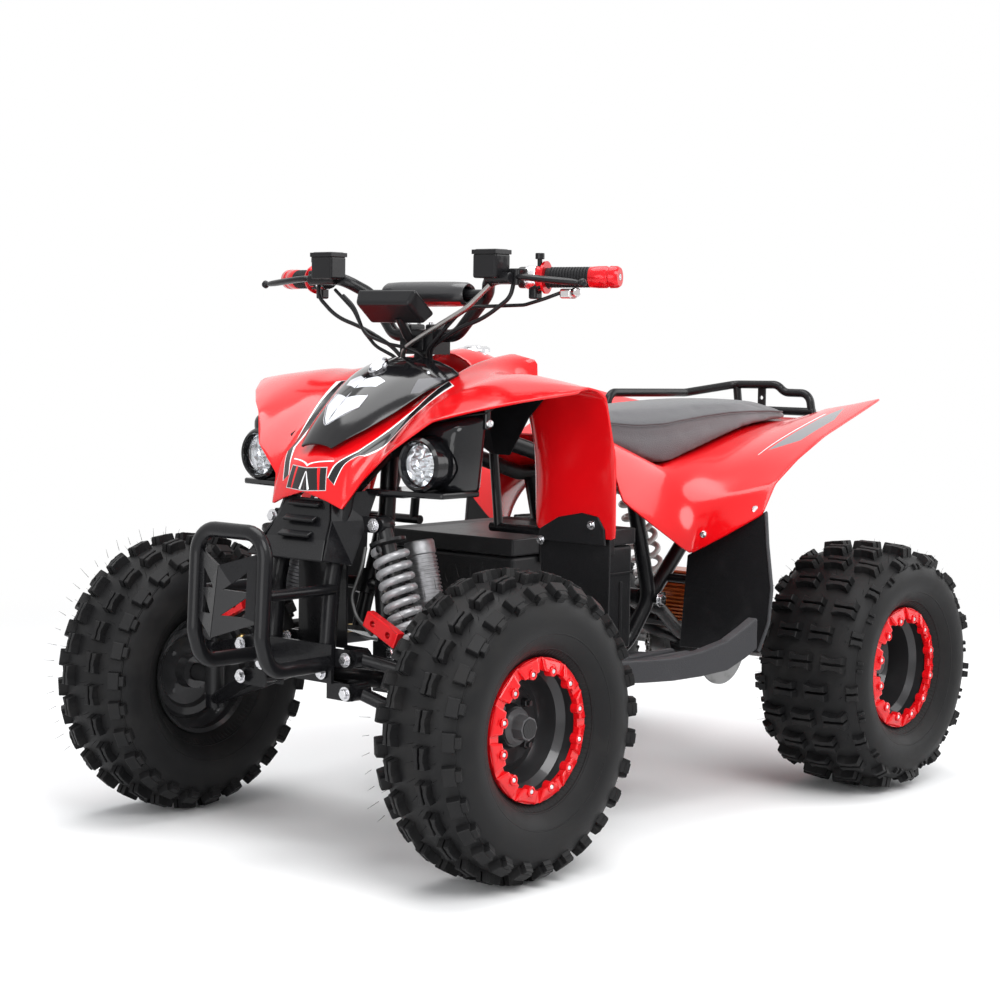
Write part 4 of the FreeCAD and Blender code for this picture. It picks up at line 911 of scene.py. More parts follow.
@dataclass
class Wheel:
    """One wheel: knobbly tyre, dished rim, bolted ring and its hub cap.

    The tyre's section is its outer skin from the bead to the crown, radius and place across in metres.
    """

    end: Wheelset
    side: Side
    centre: Vector
    section: tuple[tuple[float, float], ...]
    tip: float
    ring_face: float
    pitches: int
    rim_radius: float = 0.102
    ring_radius: float = 0.1134
    skin: float = 0.008
    core_radius: float = 0.165
    stud_circle: float = 0.046
    studs: int = 4
    bolt_circle: float = 0.0925
    lobes: int = 12

    @property
    def label(self) -> str:
        """Name of the corner the wheel is on."""
        return f"{self.end.value}_{self.side.name.lower()}"

    def skin_at(self, place: float) -> tuple[float, float]:
        """Radius and lean of the outer skin at a place across.

        Args:
            place: distance from the middle plane of the tyre.

        Returns:
            Radius there and the lean of the surface in radians.
        """
        rows = self.section
        for (low_r, low_y), (high_r, high_y) in zip(rows, rows[1:]):
            if low_y >= abs(place) >= high_y and low_r > self.tip * 0.8:
                share = (low_y - abs(place)) / (low_y - high_y)
                lean = math.atan2(high_r - low_r, low_y - high_y)
                return low_r + (high_r - low_r) * share, math.copysign(lean, place)
        return rows[-1][0], 0.0

    def carcass(self) -> Work:
        """Closed skin of the tyre without its lugs.

        Returns:
            The piece in the making.
        """
        outer = list(self.section) + [(r, -y) for r, y in reversed(self.section[:-1])]
        inner = []
        for r, y in reversed(outer):
            pull = math.hypot(r - self.core_radius, y)
            inner.append((r + (self.core_radius - r) * self.skin / pull, y * (1 - self.skin / pull)))
        made = Work.lathe(f"tyre_{self.label}", outer + inner, self.centre, steps=120)
        return made.smooth(50.0)

    def lug(self, size: Point, waist: float, lean_in: float = 0.88) -> Work:
        """One tread lug that stands on the skin, its foot sunk into it.

        Args:
            size: width across, length round the tyre and height above the skin.
            waist: depth of the notch in its outer side.
            lean_in: size of the top over that of the foot.

        Returns:
            The piece in the making, at the origin.
        """
        width, length, height = size
        sink = 0.005
        made = Work.block("lug", (width, length, height + sink), (0.0, 0.0, (height - sink) / 2))
        made.edit()
        for place in (-0.17, 0.17):
            bpy.ops.mesh.select_all(action="SELECT")
            bpy.ops.mesh.bisect(plane_co=(0.0, place * length, 0.0), plane_no=(0.0, 1.0, 0.0))
        made.corners(lambda c: c.x > 0 and abs(c.y) < length * 0.2)
        bpy.ops.transform.translate(value=(-waist, 0.0, 0.0))
        made.corners(lambda c: c.z > height * 0.9)
        bpy.ops.transform.resize(value=(lean_in, lean_in, 1.0), center_override=(0.0, 0.0, height))
        made.edges(lambda a, b: min(a.z, b.z) > height * 0.9 and (abs(a.y) + abs(b.y)) > length * 0.3)
        bpy.ops.mesh.bevel(offset=0.0011, segments=1)
        made.object()
        return made

    def stand(self, lug: Work, place: float) -> Work:
        """Stand a lug on top of the tyre at a place across.

        Args:
            lug: lug at the origin.
            place: place across, from the middle plane.

        Returns:
            The lug on the tyre.
        """
        radius, lean = self.skin_at(place)
        up = Vector((0.0, math.sin(lean), math.cos(lean)))
        across = Vector((0.0, math.cos(lean), -math.sin(lean)))
        round_ = Vector((-1.0, 0.0, 0.0))
        carry = Matrix((across, round_, up)).transposed().to_4x4()
        carry.translation = self.centre + Vector((0.0, place, radius))
        return lug.move(carry)

    def split_lug(self, size: Point, waist: float, slit: float, across: bool, place: float) -> list[Work]:
        """Two halves of one lug with a slit between them.

        Args:
            size: width, length and height of a half.
            waist: notch in the outer side of each half.
            slit: gap between the halves.
            across: whether the slit runs across the tread.
            place: place of the lug across the tread.

        Returns:
            Both halves on the tyre.
        """
        halves = []
        for way in (1, -1):
            half = self.lug(size, waist)
            half.move(Matrix.Translation((slit / 2 + size[0] / 2, 0.0, 0.0)))
            turn = (math.pi / 2 if across else 0.0) + (math.pi if way < 0 else 0.0)
            half.move(Matrix.Rotation(turn, 4, "Z"))
            halves.append(self.stand(half, place))
        return halves

    def hairs(self, places: Sequence[float]) -> list[Work]:
        """Thin moulding spikes beside the lugs, above the ground only.

        Args:
            places: places across, one row of spikes each.

        Returns:
            The spikes.
        """
        spikes = []
        for index in range(self.pitches * 2):
            angle = math.tau * (index + 0.3) / (self.pitches * 2)
            if math.cos(angle) < -0.55:
                continue
            for number, place in enumerate(places):
                length = 0.018 + 0.004 * math.sin(index * 2.3 + number * 1.7)
                spike = Work.drum("hair", 0.0005, length, (0.0, 0.0, length / 2), (0, 0, 1), 3, 0.0002)
                spike.move(Matrix.Rotation(0.25 * math.sin(index * 5.1 + number), 4, "Y"))
                self.stand(spike, place)
                spikes.append(spike.move(about(self.centre, angle)))
        return spikes

    def front_tread(self) -> list[Work]:
        """Staggered split lugs, notched shoulder blocks and small bars on the wall.

        Returns:
            One piece a row.
        """
        rows = []
        step = 360.0 / self.pitches
        crown, shoulder = 0.029, 0.0655
        for place, start in ((crown, 0.0), (-crown, step / 2)):
            pair = gather("pair", self.split_lug((0.0098, 0.036, 0.0150), 0.0030, 0.0026, False, place))
            rows.append(pair.ring(self.pitches, self.centre, start=start))
        for place, start in ((shoulder, step / 2), (-shoulder, 0.0)):
            block = self.stand(self.lug((0.021, 0.031, 0.0125), 0.0, 0.9), place)
            notch = self.stand(self.lug((0.010, 0.018, 0.0118), 0.0, 0.9).move(
                Matrix.Translation((0.0135, 0.0, 0.0))), math.copysign(shoulder, place))
            rows.append(gather("block", [block, notch]).ring(self.pitches, self.centre, start=start))
        return rows

    def rear_tread(self) -> list[Work]:
        """Rows of blocks split across, every other row half a block aside.

        Returns:
            One piece a row.
        """
        rows = []
        step = 360.0 / self.pitches
        for places, start in (((-0.064, 0.0, 0.064), 0.0), ((-0.0325, 0.0325), step)):
            for place in places:
                block = gather("bars", self.split_lug((0.0135, 0.046, 0.0140), 0.0045, 0.0034, True, place))
                rows.append(block.ring(self.pitches // 2, self.centre, start=start))
        for place in (-0.0955, 0.0955):
            edge = gather("edge", self.split_lug((0.0125, 0.024, 0.0115), 0.0030, 0.0034, True, place))
            rows.append(edge.ring(self.pitches // 2, self.centre, start=step))
            nub = gather("nub", self.split_lug((0.0060, 0.013, 0.0050), 0.0, 0.0080, True,
                                               math.copysign(0.1045, place)))
            rows.append(nub.ring(self.pitches // 2, self.centre))
        return rows

    def tyre(self) -> Work:
        """Skin, tread and hairs in one mesh.

        Returns:
            The piece in the making.
        """
        skin = self.carcass()
        if self.end is Wheelset.FRONT:
            tread = self.front_tread()
            tread += self.hairs((-0.078, -0.048, 0.010, 0.047))
        else:
            tread = self.rear_tread()
            tread += self.hairs((-0.100, 0.016, 0.080))
        skin.join(tread)
        skin.piece.name = f"tyre_{self.label}"
        return skin

    def rim(self) -> Work:
        """Pressed rim: flanges, drop centre, disc with its studs and the hub.

        Returns:
            The piece in the making.
        """
        sign = self.side.value
        bead = self.section[0][1]
        r = self.rim_radius - 0.0005
        profile = [(0.016, -0.030), (0.029, -0.030), (0.030, -0.008), (0.060, -0.006), (0.066, -0.012),
                   (0.078, -0.014), (0.0850, -0.010), (r - 0.013, -bead + 0.024), (r - 0.003, -bead + 0.012),
                   (r - 0.003, -bead - 0.004), (r + 0.004, -bead - 0.008), (r + 0.004, -bead - 0.0045),
                   (r, -bead), (r, -bead + 0.014), (r - 0.0095, -bead + 0.025), (r - 0.0095, bead - 0.025),
                   (r, bead - 0.014), (r, bead + 0.004), (r - 0.003, bead + 0.004), (r - 0.003, bead - 0.012),
                   (r - 0.013, bead - 0.023), (0.0855, 0.002), (0.078, -0.009), (0.066, -0.006),
                   (0.060, 0.000), (0.036, 0.001), (0.031, 0.012), (0.016, 0.012)]
        body = Work.lathe(f"rim_{self.label}", profile, self.centre, (0, sign, 0), 72).smooth(30.0)
        bolts = []
        for index in range(self.studs):
            angle = math.tau * (index + 0.5) / self.studs
            spot = self.centre + Vector((self.stud_circle * math.cos(angle), sign * 0.004,
                                         self.stud_circle * math.sin(angle)))
            nut = Work.drum("nut", 0.0085, 0.012, spot, (0, sign, 0), 6, 0.0078)
            stud = Work.drum("stud", 0.0042, 0.024, spot, (0, sign, 0), 12)
            bolts += [nut.soften(0.0008, 1), stud]
        return body.join(bolts)

    def cap(self) -> Work:
        """Eight-sided cap on the hub with its collar.

        Returns:
            The piece in the making.
        """
        sign = self.side.value
        collar = Work.lathe("collar", [(0.004, 0.004), (0.029, 0.004), (0.029, 0.016), (0.023, 0.021),
                                       (0.004, 0.021)], self.centre, (0, sign, 0), 40)
        reach = 0.040 if self.end is Wheelset.FRONT else 0.034
        head = Work.drum("head", 0.0205, reach - 0.018,
                         self.centre + Vector((0, sign * (reach + 0.018) / 2, 0)), (0, sign, 0), 8, 0.0190)
        head.inset(lambda middle, normal: normal.y * sign > 0.9, (0.0035, 0.0), (0.0012, -0.0015))
        return gather(f"hub_cap_{self.label}", [collar.smooth(), head.soften(0.0008, 2, 25.0)])

    def lobe(self) -> Work:
        """One faceted wedge of the outer ring with its round boss and bolt.

        Returns:
            The wedge, at the top of a ring round the origin.
        """
        inner, outer = 0.0915, self.ring_radius
        half = math.radians(12.6)
        made = Work.block("lobe", (1.0, 1.0, 1.0), (0.5, 0.5, 0.5))
        for corner in made.piece.data.vertices:
            far, turned, high = corner.co
            radius = inner + (outer - inner) * far
            angle = (turned - 0.5) * 2 * half * (1.0 if far > 0.5 else 0.86)
            crest = 0.0 if far < 0.5 else -0.0065
            corner.co = (radius * math.sin(angle), -0.009 + 0.011 * high + crest * high,
                         radius * math.cos(angle))
        made.inset(lambda middle, normal: normal.y > 0.5, (0.0030, 0.0014))
        made.weld().soften(0.0007, 1, 20.0)
        boss = Work.lathe("boss", [(0.0035, -0.009), (0.0088, -0.009), (0.0082, 0.0036), (0.0068, 0.0048),
                                   (0.0050, 0.0048), (0.0046, 0.0010), (0.0035, 0.0010)],
                          (0.0, 0.0, self.bolt_circle), steps=20).smooth()
        web = Work.block("web", (0.012, 0.0085, 0.010), (0.0, -0.0045, 0.0985))
        return gather("lobe", [made, boss, web])

    def ring(self) -> Work:
        """Outer ring of twelve bolted wedges on a thin band.

        Returns:
            The piece in the making.
        """
        lobes = self.lobe().ring(self.lobes, ORIGIN, start=180.0 / self.lobes)
        band = Work.lathe("band", [(0.0935, -0.012), (0.1122, -0.012), (0.1122, -0.0055), (0.0935, -0.0050)],
                          ORIGIN, steps=96).smooth()
        return self.face_out(gather(f"ring_{self.label}", [lobes, band]))

    def face_out(self, part: Work) -> Work:
        """Turn a part of the outer ring to its side and set it on the wheel."""
        part.move(Matrix.Scale(self.side.value, 4, (0, 1, 0)))
        return part.move(Matrix.Translation(self.centre + Vector((0, self.side.value * self.ring_face, 0))))

    def bolts(self) -> Work:
        """Bolt heads in the bosses of the ring.

        Returns:
            The piece in the making.
        """
        bolt = Work.drum("bolt", 0.0040, 0.0040, (0.0, 0.0020, self.bolt_circle), (0, 1, 0), 6)
        bolt.soften(0.0005, 1)
        bolt.ring(self.lobes, ORIGIN, start=180.0 / self.lobes)
        bolt.piece.name = f"ring_bolts_{self.label}"
        return self.face_out(bolt)


FRONT_SECTION = ((0.1025, 0.0427), (0.1085, 0.0475), (0.1165, 0.0535), (0.1260, 0.0650), (0.1400, 0.0765),
                 (0.1580, 0.0845), (0.1760, 0.0850), (0.1930, 0.0805), (0.2070, 0.0720), (0.2170, 0.0590),
                 (0.2235, 0.0410), (0.2272, 0.0205), (0.2285, 0.0))
REAR_SECTION = ((0.1025, 0.0675), (0.1085, 0.0730), (0.1165, 0.0800), (0.1260, 0.0920), (0.1390, 0.1035),
                (0.1550, 0.1105), (0.1710, 0.1118), (0.1850, 0.1085), (0.1975, 0.1000), (0.2070, 0.0860),
                (0.2125, 0.0660), (0.2155, 0.0400), (0.2168, 0.0180), (0.2170, 0.0))


@dataclass
class RollingGear:
    """The four wheels."""

    front_x: float = 1.018
    front_track: float = 0.378
    rear_track: float = 0.390
    front_height: float = 0.242
    rear_height: float = 0.231
    rim_paint: Paint = Paint("rim graphite enamel", (0.035, 0.035, 0.037), 0.30, 0.4, 0.4, 500.0)
    ring_paint: Paint = Paint("ring red enamel", (0.70, 0.005, 0.009), 0.24, 0.5, 0.0, 700.0, 0.0001, 0.01)
    cap_paint: Paint = Paint("hub cap grey", (0.085, 0.085, 0.088), 0.42, 0.1)
    bolt_metal: Metal = Metal("ring bolt zinc", (0.62, 0.62, 0.64), 0.3)

    def build(self) -> None:
        """Build and dress all four wheels."""
        rim, ring = self.rim_paint.make(), self.ring_paint.make()
        cap, bolt = self.cap_paint.make(), self.bolt_metal.make()
        for side in Side:
            centre = at(self.front_x, side.value * self.front_track, self.front_height)
            wheel = Wheel(Wheelset.FRONT, side, centre, FRONT_SECTION, 0.242, 0.0632, 27)
            self.dress(wheel, f"wheel_front_{side.name.lower()}", rim, ring, cap, bolt)
            centre = at(0.0, side.value * self.rear_track, self.rear_height)
            wheel = Wheel(Wheelset.REAR, side, centre, REAR_SECTION, 0.231, 0.0880, 26)
            self.dress(wheel, "rear_axle_body", rim, ring, cap, bolt)

    def dress(self, wheel: Wheel, body: str, rim: bpy.types.Material, ring: bpy.types.Material,
              cap: bpy.types.Material, bolt: bpy.types.Material) -> None:
        """Dress one wheel and hang it on its body.

        Args:
            wheel: wheel to build.
            body: body it turns with.
            rim: finish of the rim.
            ring: finish of the outer ring.
            cap: finish of the hub cap.
            bolt: finish of the ring's bolts.
        """
        name = wheel.side.name.lower()
        end = wheel.end.value
        rubber = Tread(f"rubber {end} {name}", tuple(wheel.centre), wheel.tip, wheel.ring_radius).make()
        wheel.tyre().finish(rubber, body, "tyre", f"{end}_tyre_{name}")
        rims = f"front_rim_{name}" if wheel.end is Wheelset.FRONT else "rear_rims"
        rings = f"front_ring_{name}" if wheel.end is Wheelset.FRONT else "rear_rings"
        wheel.rim().finish(rim, body, "rim_silver", rims)
        wheel.ring().finish(ring, body, "ring_red", rings)
        wheel.cap().finish(cap, body, "black_plastic")
        wheel.bolts().finish(bolt, body, "zinc")


# Moulded panels


def spread(rows: Sequence[Row]) -> list[list[Vector]]:
    """Rows of places from right to left, from sections that are given for the left.

    Args:
        rows: place across and the section's places ahead of the axle and above ground.

    Returns:
        One row of points a section, on both sides of the bike.
    """
    left = [[at(x, y, z) for x, z in section] for y, section in rows]
    right = [[at(x, -y, z) for x, z in section] for y, section in reversed(rows) if y > 0]
    return right + left


@dataclass
class Moulding:
    """Thin moulded panel with smooth faces between its creased lines."""

    name: str
    rows: list[list[Vector]]
    wall: float = 0.004
    creases: tuple[tuple[int, float], ...] = ()
    row_creases: tuple[tuple[int, float], ...] = ()
    rim: float = 0.85
    levels: int = 3
    inward: float = 1.0

    def build(self) -> Work:
        """Make the panel: grid, creases, wall and smooth faces.

        Returns:
            The piece in the making.
        """
        made = Work.sheet(self.name, self.rows)
        across = len(self.rows[0])
        for line, value in self.creases:
            made.crease(lambda i, j, line=line: i % across == line and j % across == line, value)
        for line, value in self.row_creases:
            made.crease(lambda i, j, line=line: i // across == line and j // across == line, value)
        made.modify("SOLIDIFY", thickness=self.wall, offset=self.inward, edge_crease_rim=self.rim,
                    edge_crease_outer=self.rim, edge_crease_inner=self.rim)
        made.modify("SUBSURF", levels=self.levels, render_levels=self.levels,
                    boundary_smooth="PRESERVE_CORNERS")
        return made.weld(0.000001).smooth(60.0)


class View(Enum):
    """The two axes, X 0, Y 1 and Z 2, that a patch is drawn in."""

    PLAN = (0, 1)
    FRONT = (1, 2)
    SIDE = (0, 2)


@dataclass(frozen=True)
class Patch:
    """Painted convex outline, the same on both sides of the bike."""

    corners: tuple[tuple[float, float], ...]
    colour: tuple[float, float, float]
    view: View = View.PLAN
    blur: float = 0.0004

    def mask(self, recipe: Recipe) -> Signal:
        """Where the patch lies, from 0 to 1.

        Args:
            recipe: material that it is painted in.

        Returns:
            The mask.
        """
        x, y, z = recipe.axes((AXLE_X, 0.0, 0.0))
        axes = (x, abs(y), z)
        first, second = axes[self.view.value[0]], axes[self.view.value[1]]
        pairs = list(zip(self.corners, self.corners[1:] + self.corners[:1]))
        turn = math.copysign(1.0, sum(a[0] * b[1] - b[0] * a[1] for a, b in pairs))
        mask = None
        for (ax, ay), (bx, by) in pairs:
            length = math.hypot(bx - ax, by - ay) * turn
            across, up = (ay - by) / length, (bx - ax) / length
            edge = ((first * across) + (second * up)).step(ax * across + ay * up - self.blur,
                                                           ax * across + ay * up + self.blur)
            mask = edge if mask is None else mask * edge
        return mask


def stroke(start: Point, end: Point, wide: float, colour: tuple[float, float, float], view: View = View.PLAN,
           far: float | None = None) -> Patch:
    """Painted line from one place to another.

    Args:
        start: place of its start in the view.
        end: place of its end.
        wide: width at the start.
        colour: colour of the paint.
        view: directions that it is drawn in.
        far: width at the end, where it differs.

    Returns:
        The line as a patch.
    """
    a, b = Vector(start), Vector(end)
    aside = Vector((a.y - b.y, b.x - a.x)).normalized()
    near, last = aside * wide / 2, aside * (wide if far is None else far) / 2
    return Patch(tuple(tuple(c) for c in (a + near, b + last, b - last, a - near)), colour, view)


def ribbon(stations: Sequence[tuple[Point, Point]], colour: tuple[float, float, float]) -> list[Patch]:
    """Painted band through pairs of edge places, one patch from each pair to the next."""
    return [Patch((a, b, d, c), colour, View.PLAN, 0.00015) for (a, b), (c, d) in zip(stations, stations[1:])]


@dataclass(frozen=True)
class Livery:
    """Gloss plastic in the body colour with painted stripes."""

    name: str
    colour: tuple[float, float, float] = (0.66, 0.003, 0.006)
    bands: tuple[Patch, ...] = ()
    rough: float = 0.20
    coat: float = 0.45

    def make(self) -> bpy.types.Material:
        """Build the finish.

        Returns:
            The material: stripes over the base, faint orange peel and a clear coat.
        """
        recipe = Recipe(self.name)
        cloud = recipe.noise(7.0, 4.0)
        fine = recipe.noise(420.0, 2.0)
        deep = tuple(c * 0.86 for c in self.colour)
        colour = recipe.blend(cloud.step(0.4, 0.8) * 0.6, self.colour, deep)
        for band in self.bands:
            colour = recipe.blend(band.mask(recipe), colour, band.colour)
        recipe.fill(Base_Color=colour, Roughness=self.rough + (cloud - 0.5) * 0.10 + (fine - 0.5) * 0.04,
                    Coat_Weight=self.coat, Coat_Roughness=0.10, Specular_IOR_Level=0.2)
        recipe.relief(fine, 0.00006)
        return recipe.material


@dataclass(frozen=True)
class Glass:
    """Clear lamp glass, faintly fluted."""

    name: str
    colour: tuple[float, float, float] = (0.97, 0.98, 1.0)

    def make(self) -> bpy.types.Material:
        """Build the finish.

        Returns:
            The material.
        """
        recipe = Recipe(self.name)
        haze = recipe.noise(40.0, 3.0)
        recipe.fill(Base_Color=recipe.blend(haze * 0.1, self.colour, (0.8, 0.82, 0.85)),
                    Transmission_Weight=0.92, Roughness=0.02 + haze * 0.03, IOR=1.35)
        recipe.relief(haze, 0.0002)
        return recipe.material


def top_of(piece: bpy.types.Object, x: float, y: float, lift: float = 0.0) -> Vector:
    """Place on top of a piece, straight above a point of the ground.

    Args:
        piece: piece to stand on.
        x: place ahead of the rear axle.
        y: place to the left.
        lift: height above its surface.

    Returns:
        The place, or one 0.8 m up where nothing is hit.
    """
    start = at(x, y, 2.0)
    hit, place, _, _ = piece.ray_cast(start, Vector((0.0, 0.0, -1.0)))
    return (place if hit else at(x, y, 0.8)) + Vector((0.0, 0.0, lift))


FENDER_ROWS: tuple[Row, ...] = (
    (0.000, ((1.098, 0.585), (1.096, 0.615), (1.092, 0.632), (1.045, 0.664), (1.000, 0.706), (0.960, 0.730),
             (0.925, 0.746))),
    (0.050, ((1.094, 0.572), (1.085, 0.612), (1.075, 0.634), (1.000, 0.684), (0.950, 0.717), (0.915, 0.737),
             (0.880, 0.750))),
    (0.081, ((1.090, 0.560), (1.080, 0.600), (1.068, 0.638), (0.990, 0.684), (0.930, 0.722), (0.890, 0.742),
             (0.850, 0.757))),
    (0.100, ((1.063, 0.607), (1.030, 0.642), (0.990, 0.678), (0.920, 0.738), (0.860, 0.768), (0.790, 0.798),
             (0.700, 0.810))),
    (0.150, ((1.056, 0.655), (1.020, 0.690), (0.960, 0.730), (0.880, 0.768), (0.800, 0.794), (0.740, 0.802),
             (0.690, 0.798))),
    (0.200, ((1.011, 0.705), (0.960, 0.734), (0.880, 0.768), (0.800, 0.786), (0.752, 0.771), (0.745, 0.640),
             (0.745, 0.520))),
    (0.250, ((0.972, 0.721), (0.930, 0.744), (0.870, 0.768), (0.805, 0.779), (0.757, 0.764), (0.745, 0.640),
             (0.745, 0.516))),
    (0.310, ((0.917, 0.738), (0.890, 0.754), (0.850, 0.766), (0.805, 0.769), (0.762, 0.756), (0.745, 0.640),
             (0.745, 0.512))),
    (0.367, ((0.852, 0.752), (0.842, 0.757), (0.822, 0.760), (0.800, 0.756), (0.776, 0.744), (0.747, 0.640),
             (0.745, 0.510))),
)

TAIL_ROWS: tuple[Row, ...] = (
    (0.000, ((0.470, 0.660), (0.300, 0.600), (0.160, 0.630), (0.020, 0.668), (-0.120, 0.676),
             (-0.200, 0.680))),
    (0.128, ((0.470, 0.660), (0.300, 0.600), (0.160, 0.630), (0.020, 0.668), (-0.120, 0.676),
             (-0.200, 0.680))),
    (0.150, ((0.447, 0.546), (0.300, 0.588), (0.160, 0.632), (0.020, 0.670), (-0.100, 0.682),
             (-0.160, 0.688))),
    (0.220, ((0.334, 0.448), (0.302, 0.540), (0.235, 0.608), (0.120, 0.650), (-0.030, 0.690),
             (-0.110, 0.704))),
    (0.290, ((0.320, 0.488), (0.285, 0.560), (0.215, 0.612), (0.110, 0.656), (-0.030, 0.698),
             (-0.100, 0.716))),
    (0.353, ((0.302, 0.528), (0.262, 0.582), (0.190, 0.624), (0.100, 0.664), (-0.020, 0.704),
             (-0.093, 0.729))),
)

# Place ahead of the axle, half width, height of the crown and of the edge
SPINE_ROWS = ((1.066, 0.033, 0.659, 0.653), (1.046, 0.046, 0.688, 0.667), (1.018, 0.062, 0.717, 0.683),
              (0.970, 0.081, 0.755, 0.710), (0.920, 0.098, 0.783, 0.742), (0.880, 0.108, 0.796, 0.760),
              (0.848, 0.112, 0.800, 0.772))
TANK_ROWS = ((0.758, 0.078, 0.806, 0.760), (0.710, 0.098, 0.818, 0.750), (0.660, 0.106, 0.802, 0.738),
             (0.590, 0.110, 0.770, 0.718), (0.530, 0.109, 0.742, 0.704), (0.478, 0.106, 0.722, 0.690))
CROWN_SHARES = ((-1.0, 0.0), (-0.86, 0.34), (-0.58, 0.72), (-0.28, 0.93), (0.0, 1.0), (0.28, 0.93),
                (0.58, 0.72), (0.86, 0.34), (1.0, 0.0))


def crowned(rows: Sequence[tuple[float, float, float, float]]) -> list[list[Vector]]:
    """Rows of places across a rounded cover."""
    return [[at(x, edge * across, side + (crown - side) * up) for across, up in CROWN_SHARES]
            for x, edge, crown, side in rows]


@dataclass
class Bodywork:
    """Red fairings, gloss hood and tank cover with their trim and screws."""

    white: tuple[float, float, float] = (0.85, 0.85, 0.86)
    black: tuple[float, float, float] = (0.006, 0.006, 0.007)
    column_spot: tuple[float, float, float] = (0.7695, 0.0, 0.80)
    column_axis: tuple[float, float, float] = (-0.304, 0.0, 0.9527)
    notch_radius: float = 0.088
    colour: tuple[float, float, float] = (0.72, 0.004, 0.008)

    def stripes(self) -> tuple[Patch, ...]:
        """Bands beside the hood and the inset on the nose, with painted highlights along the nose's front
        crease and round the inset.

        Returns:
            The stripes, in the order they are painted.
        """
        white, black, front = self.white, self.black, View.FRONT
        edging = ((1.0860, 0.0446), (1.0856, 0.0597)), ((1.0453, 0.0723), (1.0452, 0.0876)), (
            (0.9884, 0.0890), (0.9950, 0.1060)), ((0.9347, 0.1007), (0.9475, 0.1210)), (
            (0.8672, 0.1060), (0.8880, 0.1370))
        middle = ((1.0860, 0.0461), (1.0856, 0.0583)), ((1.0471, 0.0754), (1.0462, 0.0865)), (
            (0.9938, 0.0910), (0.9936, 0.1045)), ((0.9351, 0.1025), (0.9450, 0.1185)), (
            (0.8689, 0.1086), (0.8840, 0.1290))
        inset = ((0.0, 0.622), (0.0390, 0.6245), (0.0447, 0.589), (0.0, 0.5865))
        # Grey border round the black inset: a painted highlight on its edge
        inset_highlight = ((0.0, 0.6233), (0.0402, 0.6259), (0.0461, 0.5879), (0.0, 0.5853))
        return (*ribbon(edging, white), *ribbon(middle, black),
                # Thin white line just behind the nose's front crease: a painted highlight on its lip
                stroke((1.088, 0.000), (1.073, 0.046), 0.0016, white),
                Patch(inset_highlight, (0.5, 0.5, 0.51), front), Patch(inset, black, front),
                stroke((0.0006, 0.617), (0.0098, 0.588), 0.0016, white, front, 0.0044),
                Patch(((0.022, 0.6238), (0.0275, 0.6243), (0.033, 0.588), (0.0295, 0.588)),
                      self.colour, front))

    def tail_stripes(self) -> tuple[Patch, ...]:
        """Grey and white flash on each tail.

        Returns:
            The patches, in the order they are painted.
        """
        return (Patch(((0.1635, 0.2694), (0.118, 0.312), (0.0117, 0.318), (-0.074, 0.2865), (-0.0206, 0.2727),
                       (0.1066, 0.2708)), (0.17, 0.17, 0.18)),
                stroke((0.182, 0.2615), (-0.040, 0.2645), 0.0016, self.white, far=0.0050))

    def build(self) -> None:
        """Build the fairings."""
        red = Livery("body red gloss", bands=self.stripes()).make()
        tail_red = Livery("tail red gloss", bands=self.tail_stripes()).make()
        # The hood's black carries painted highlights on its diamond and painted shade in its vent
        gloss = Livery("hood black gloss", self.black, self.painted_hood_light(), 0.12, 0.4).make()
        fender = Moulding("front_fairing", spread(FENDER_ROWS), creases=((2, 0.35),),
                          row_creases=((6, 0.6), (7, 0.35), (10, 0.35), (11, 0.6))).build()
        fender.finish(red, "chassis", "red_body", "front_fender")
        tail = Moulding("rear_fairing", spread(TAIL_ROWS), creases=((1, 0.55),),
                        row_creases=((4, 0.7), (3, 0.5), (7, 0.5), (6, 0.7))).build()
        tail.finish(tail_red, "chassis", "red_body", "rear_fender")
        hood = Moulding("hood", crowned(SPINE_ROWS), creases=((2, 0.3), (6, 0.3)), rim=0.9).build()
        # Room round the steering column for the cables at full lock
        hood.cut(Work.drum("notch", self.notch_radius, 0.16, at(*self.column_spot), self.column_axis, 64))
        hood_piece = hood.finish(gloss, "chassis", "black_gloss", "nose_panel")
        tank = Moulding("tank_top", crowned(TANK_ROWS), creases=((2, 0.25), (6, 0.25))).build()
        tank_piece = tank.finish(red, "chassis", "red_body", "tank_cover")
        self.hood_trim(hood_piece)
        self.tank_cap(tank_piece)
        self.screws()

    def painted_hood_light(self) -> tuple[Patch, ...]:
        """Pale faces of the hood's diamond as painted highlights, its grey shoulder, and the vent beside the
        column as painted shade with a painted highlight at its end.

        Returns:
            The patches, in the order they are painted.
        """
        # pale is painted highlight; dark is the painted shade inside the vent opening
        pale, grey, dark = (0.62, 0.64, 0.67), (0.075, 0.077, 0.085), (0.002, 0.002, 0.002)
        return (Patch(((1.046, 0.0012), (1.000, 0.0012), (0.986, 0.0345), (1.008, 0.0355),
                       (1.037, 0.012)), pale),
                Patch(((0.980, 0.0012), (0.957, 0.0012), (0.946, 0.020), (0.950, 0.040),
                       (0.966, 0.0345)), pale),
                Patch(((0.912, 0.079), (0.872, 0.108), (0.925, 0.0965), (0.938, 0.086)), grey),
                stroke((0.874, 0.052), (0.892, 0.084), 0.0035, dark, far=0.0075),
                stroke((0.8885, 0.0785), (0.8915, 0.0835), 0.004, pale))

